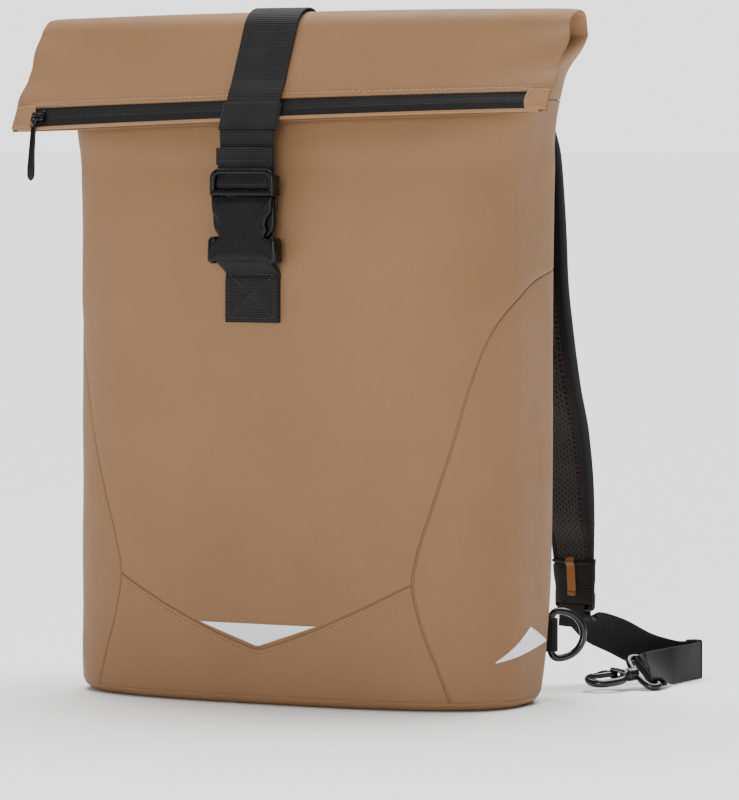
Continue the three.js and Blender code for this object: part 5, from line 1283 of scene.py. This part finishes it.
def turned_part(name, profile, look, side, **more):
    """A part turned round the hook's length: pairs of distance along it and radius."""
    profile = np.array(profile, float)
    angle = np.linspace(0, 2 * np.pi, 28, endpoint=False)
    rings = at_hook(HOOK_AXES, profile[:, :1], profile[:, 1:] * np.cos(angle), profile[:, 1:] * np.sin(angle))
    points, faces, uv = loft(rings * (side, 1, 1))
    return put_mesh(name, points, faces, look, uv=uv, sharp=40, **more)


def hook(hand, side):
    """The eye with its collar, the bent bar that turns in it, and the sprung gate with thumb ridges."""
    outline = d_outline(EYE_WIDTH - 2 * EYE_WIRE, EYE_DEPTH - EYE_WIRE, 2, 0.6)
    path = at_hook(EYE_AXES, outline[:, 0], outline[:, 1])
    bar(f"hook_eye_wire_{hand}", path, EYE_AXES[1], circle(EYE_WIRE, 18), METAL, closed=True, side=side,
        replaces=(f"hook_eye_{hand}",))
    near, far = EYE_DEPTH - EYE_WIRE - 1, EYE_DEPTH + 4.4
    turned_part(f"hook_collar_{hand}", [
        (near, 2.2), (near, 3.6), (near + 0.4, 4.2), (near + 1.2, 4.5), (far - 2.6, 4.5), (far - 2.3, 4.15),
        (far - 1.9, 4.15), (far - 1.6, 4.5), (far - 0.6, 4.5), (far, 4.0), (far, 2.2)], METAL, side)
    root = far + CLEARANCE
    half = HOOK_WIDTH / 2 - HOOK_WIRE
    bend = root + HOOK_LENGTH - HOOK_WIRE - half
    nose = np.pi * 0.42
    body = f"hook_{hand}"
    turned_part(f"hook_shoulder_{hand}", [
        (root - 3.6, 1.2), (root - 3.6, 1.6), (root, 1.7), (root, 3.7), (root + 0.4, 4.2), (root + 2.4, 4.2),
        (root + 3.1, 3.6), (root + 4.2, 2.0), (root + 4.4, 0.8)], METAL, side, body=body)
    angle = np.linspace(-np.pi / 2, nose, 12)
    stations = np.vstack([[(root + 1.5, 0), (root + 3.5, -2.5), (root + 6.5, -half * 0.8), (root + 12, -half)],
                          np.stack([bend + half * np.cos(angle), half * np.sin(angle)], 1)])
    stations = resample(np.hstack([stations, np.zeros((len(stations), 1))]), pitch=0.7)
    share = np.linspace(0, 1, len(stations))
    thick = 0.93 + 0.07 * np.sin(np.pi * share) - 0.14 * smooth((share - 0.86) / 0.14)
    bar(f"hook_bow_{hand}", at_hook(HOOK_AXES, stations[:, 0], stations[:, 1]), HOOK_AXES[1], circle(HOOK_WIRE, 20),
        METAL, scale=thick, side=side, soft_end=1.6, body=body, replaces=(f"hook_body_{hand}",))
    hinge = (root + 5, half - 1.2)
    inside = 2.0
    arm = np.array([(root + 0.2, -2), (root + 4, -3), (hinge[0] + 1.6, hinge[1] - 3), (hinge[0] + 3.2, hinge[1] - 0.4),
                    (hinge[0] + 2.2, hinge[1] + 2.6), (hinge[0] - 1, hinge[1] + 3.2), (root + 0.2, 3.4)])
    arm = resample(arm, pitch=0.7, closed=True)
    for name, out in (("a", inside + 0.55), ("b", -inside - 0.55)):
        plate(f"hook_cheek_{name}_{hand}", arm, 1.1, EYE_BAR + HOOK_AXES[1] * out, METAL, rounding=0.4,
              axes=HOOK_AXES, side=side, body=body)
        t = np.linspace(0, 1, 6)
        pin = at_hook(HOOK_AXES, hinge[0], hinge[1], np.sign(out) * (inside + 0.7 + 0.9 * t))
        bar(f"hook_rivet_{name}_{hand}", pin, HOOK_AXES[0], circle(1.25, 16), METAL, side=side, soft_end=0.3,
            body=body)
    reach = bend + half * np.cos(nose) - 1.2
    gate = np.array([
        (hinge[0] - 1.6, hinge[1] - 1.6), (hinge[0] + 2.2, hinge[1] - 2), (reach, half - 1.9), (reach, half + 1.2),
        (hinge[0] + 13, half + 1.6), (hinge[0] + 9, half + 3.3), (hinge[0] + 5, half + 2.9),
        (hinge[0] + 1, hinge[1] + 2.4), (hinge[0] - 1.6, hinge[1] + 1.6)])
    gate = resample(gate, pitch=0.55, closed=True)
    swung = f"gate_{hand}"
    plate(f"gate_bar_{hand}", gate, 3.4, EYE_BAR, METAL, rounding=0.7, crown=0.15, axes=HOOK_AXES, side=side,
          body=swung, replaces=(f"hook_gate_{hand}",))
    for k in range(6):
        along = hinge[0] + 4.4 + k * 1.15
        rise = half + 2.55 + 0.35 * np.sin(np.pi * k / 5) - 0.18 * max(k - 3, 0)
        ridge = at_hook(HOOK_AXES, along, rise, np.linspace(-1.55, 1.55, 8))
        bar(f"gate_ridge_{k}_{hand}", ridge, HOOK_AXES[0], circle(0.42, 8), METAL, side=side, soft_end=0.2, body=swung)


# Floor, light and camera

# The studio: even light from the world and overhead, so that the floor looks alike far and near. The camera
# sees the world brighter than it lights, by as much as makes it match the floor.
WORLD, WORLD_SEEN, OVERHEAD = 0.25, 1.85, 7.0
# Each lamp's name, place, aim, power and size
LAMPS = (
    ("key", (0.75, -3.0, 0.8), (0, 0, 0.25), 44, 1.2),
    ("side", (-1.9, -1.2, 1.5), (0, 0, 0.3), 3, 0.8),
)
FLOOR_HALF = 400
LENS, SENSOR, FAR_CLIP = 225.3, 36, 1500
CAMERA_AT, CAMERA_AIM = (1.5333, -2.9224, 0.361), (-0.45399 * 5000, 0.89101 * 5000, -251)


def stage():
    """A pale floor, even light with a key lamp before the bag, and the camera at the photograph's place."""
    floor = bpy.data.meshes.new("floor")
    corners = [(x * FLOOR_HALF, y * FLOOR_HALF, 0) for x, y in ((-1, -1), (1, -1), (1, 1), (-1, 1))]
    floor.from_pydata(corners, [], [(0, 1, 2, 3)])
    ground = bpy.data.objects.new("floor", floor)
    bpy.context.scene.collection.objects.link(ground)
    made, tree, shader = nodes_of("pale floor", 0.6)
    shader.inputs["Base Color"].default_value = (0.9, 0.9, 0.9, 1)
    floor.materials.append(made)
    world = bpy.data.worlds.new("studio")
    world.use_nodes = True
    tree = world.node_tree
    background = tree.nodes["Background"]
    background.inputs["Color"].default_value = (1, 1, 1, 1)
    ray = tree.nodes.new("ShaderNodeLightPath").outputs["Is Camera Ray"]
    seen = maths(tree, "ADD", maths(tree, "MULTIPLY", ray, WORLD_SEEN), WORLD)
    tree.links.new(seen, background.inputs["Strength"])
    bpy.context.scene.world = world
    sky = bpy.data.lights.new("overhead", "SUN")
    sky.energy, sky.angle = OVERHEAD, 1.0
    above = bpy.data.objects.new("overhead", sky)
    above.rotation_euler = (np.radians(-18), np.radians(-4), 0)
    bpy.context.scene.collection.objects.link(above)
    for name, place, aim, power, size in LAMPS:
        data = bpy.data.lights.new(name, "AREA")
        data.energy, data.size = power, size
        light = bpy.data.objects.new(name, data)
        light.location = place
        light.rotation_euler = (Vector(aim) - Vector(place)).to_track_quat("-Z", "Y").to_euler()
        bpy.context.scene.collection.objects.link(light)
    data = bpy.data.cameras.new("camera")
    data.lens, data.sensor_width = LENS, SENSOR
    data.clip_end = FAR_CLIP
    camera = bpy.data.objects.new("camera", data)
    camera.location = CAMERA_AT
    camera.rotation_euler = Vector(CAMERA_AIM).to_track_quat("-Z", "Y").to_euler()
    bpy.context.scene.collection.objects.link(camera)
    bpy.context.scene.camera = camera


front_leather()
lower_leather()
back_leather()
base_leather()
roll_leather()
welts()
seam_stitches()
zip_band()
zip_lip()
zip_tabs()
zip_pull()
closing_strap()
keeper()
buckle()
buckle_tab()
reflectors()
for hand_name, hand_side in HANDS:
    side_leather(hand_name, hand_side)
    shoulder_strap(hand_name, hand_side)
    lock(hand_name, hand_side)
    trailing_webbing(hand_name, hand_side)
    ring_and_loop(hand_name, hand_side)
    hook(hand_name, hand_side)
stage()
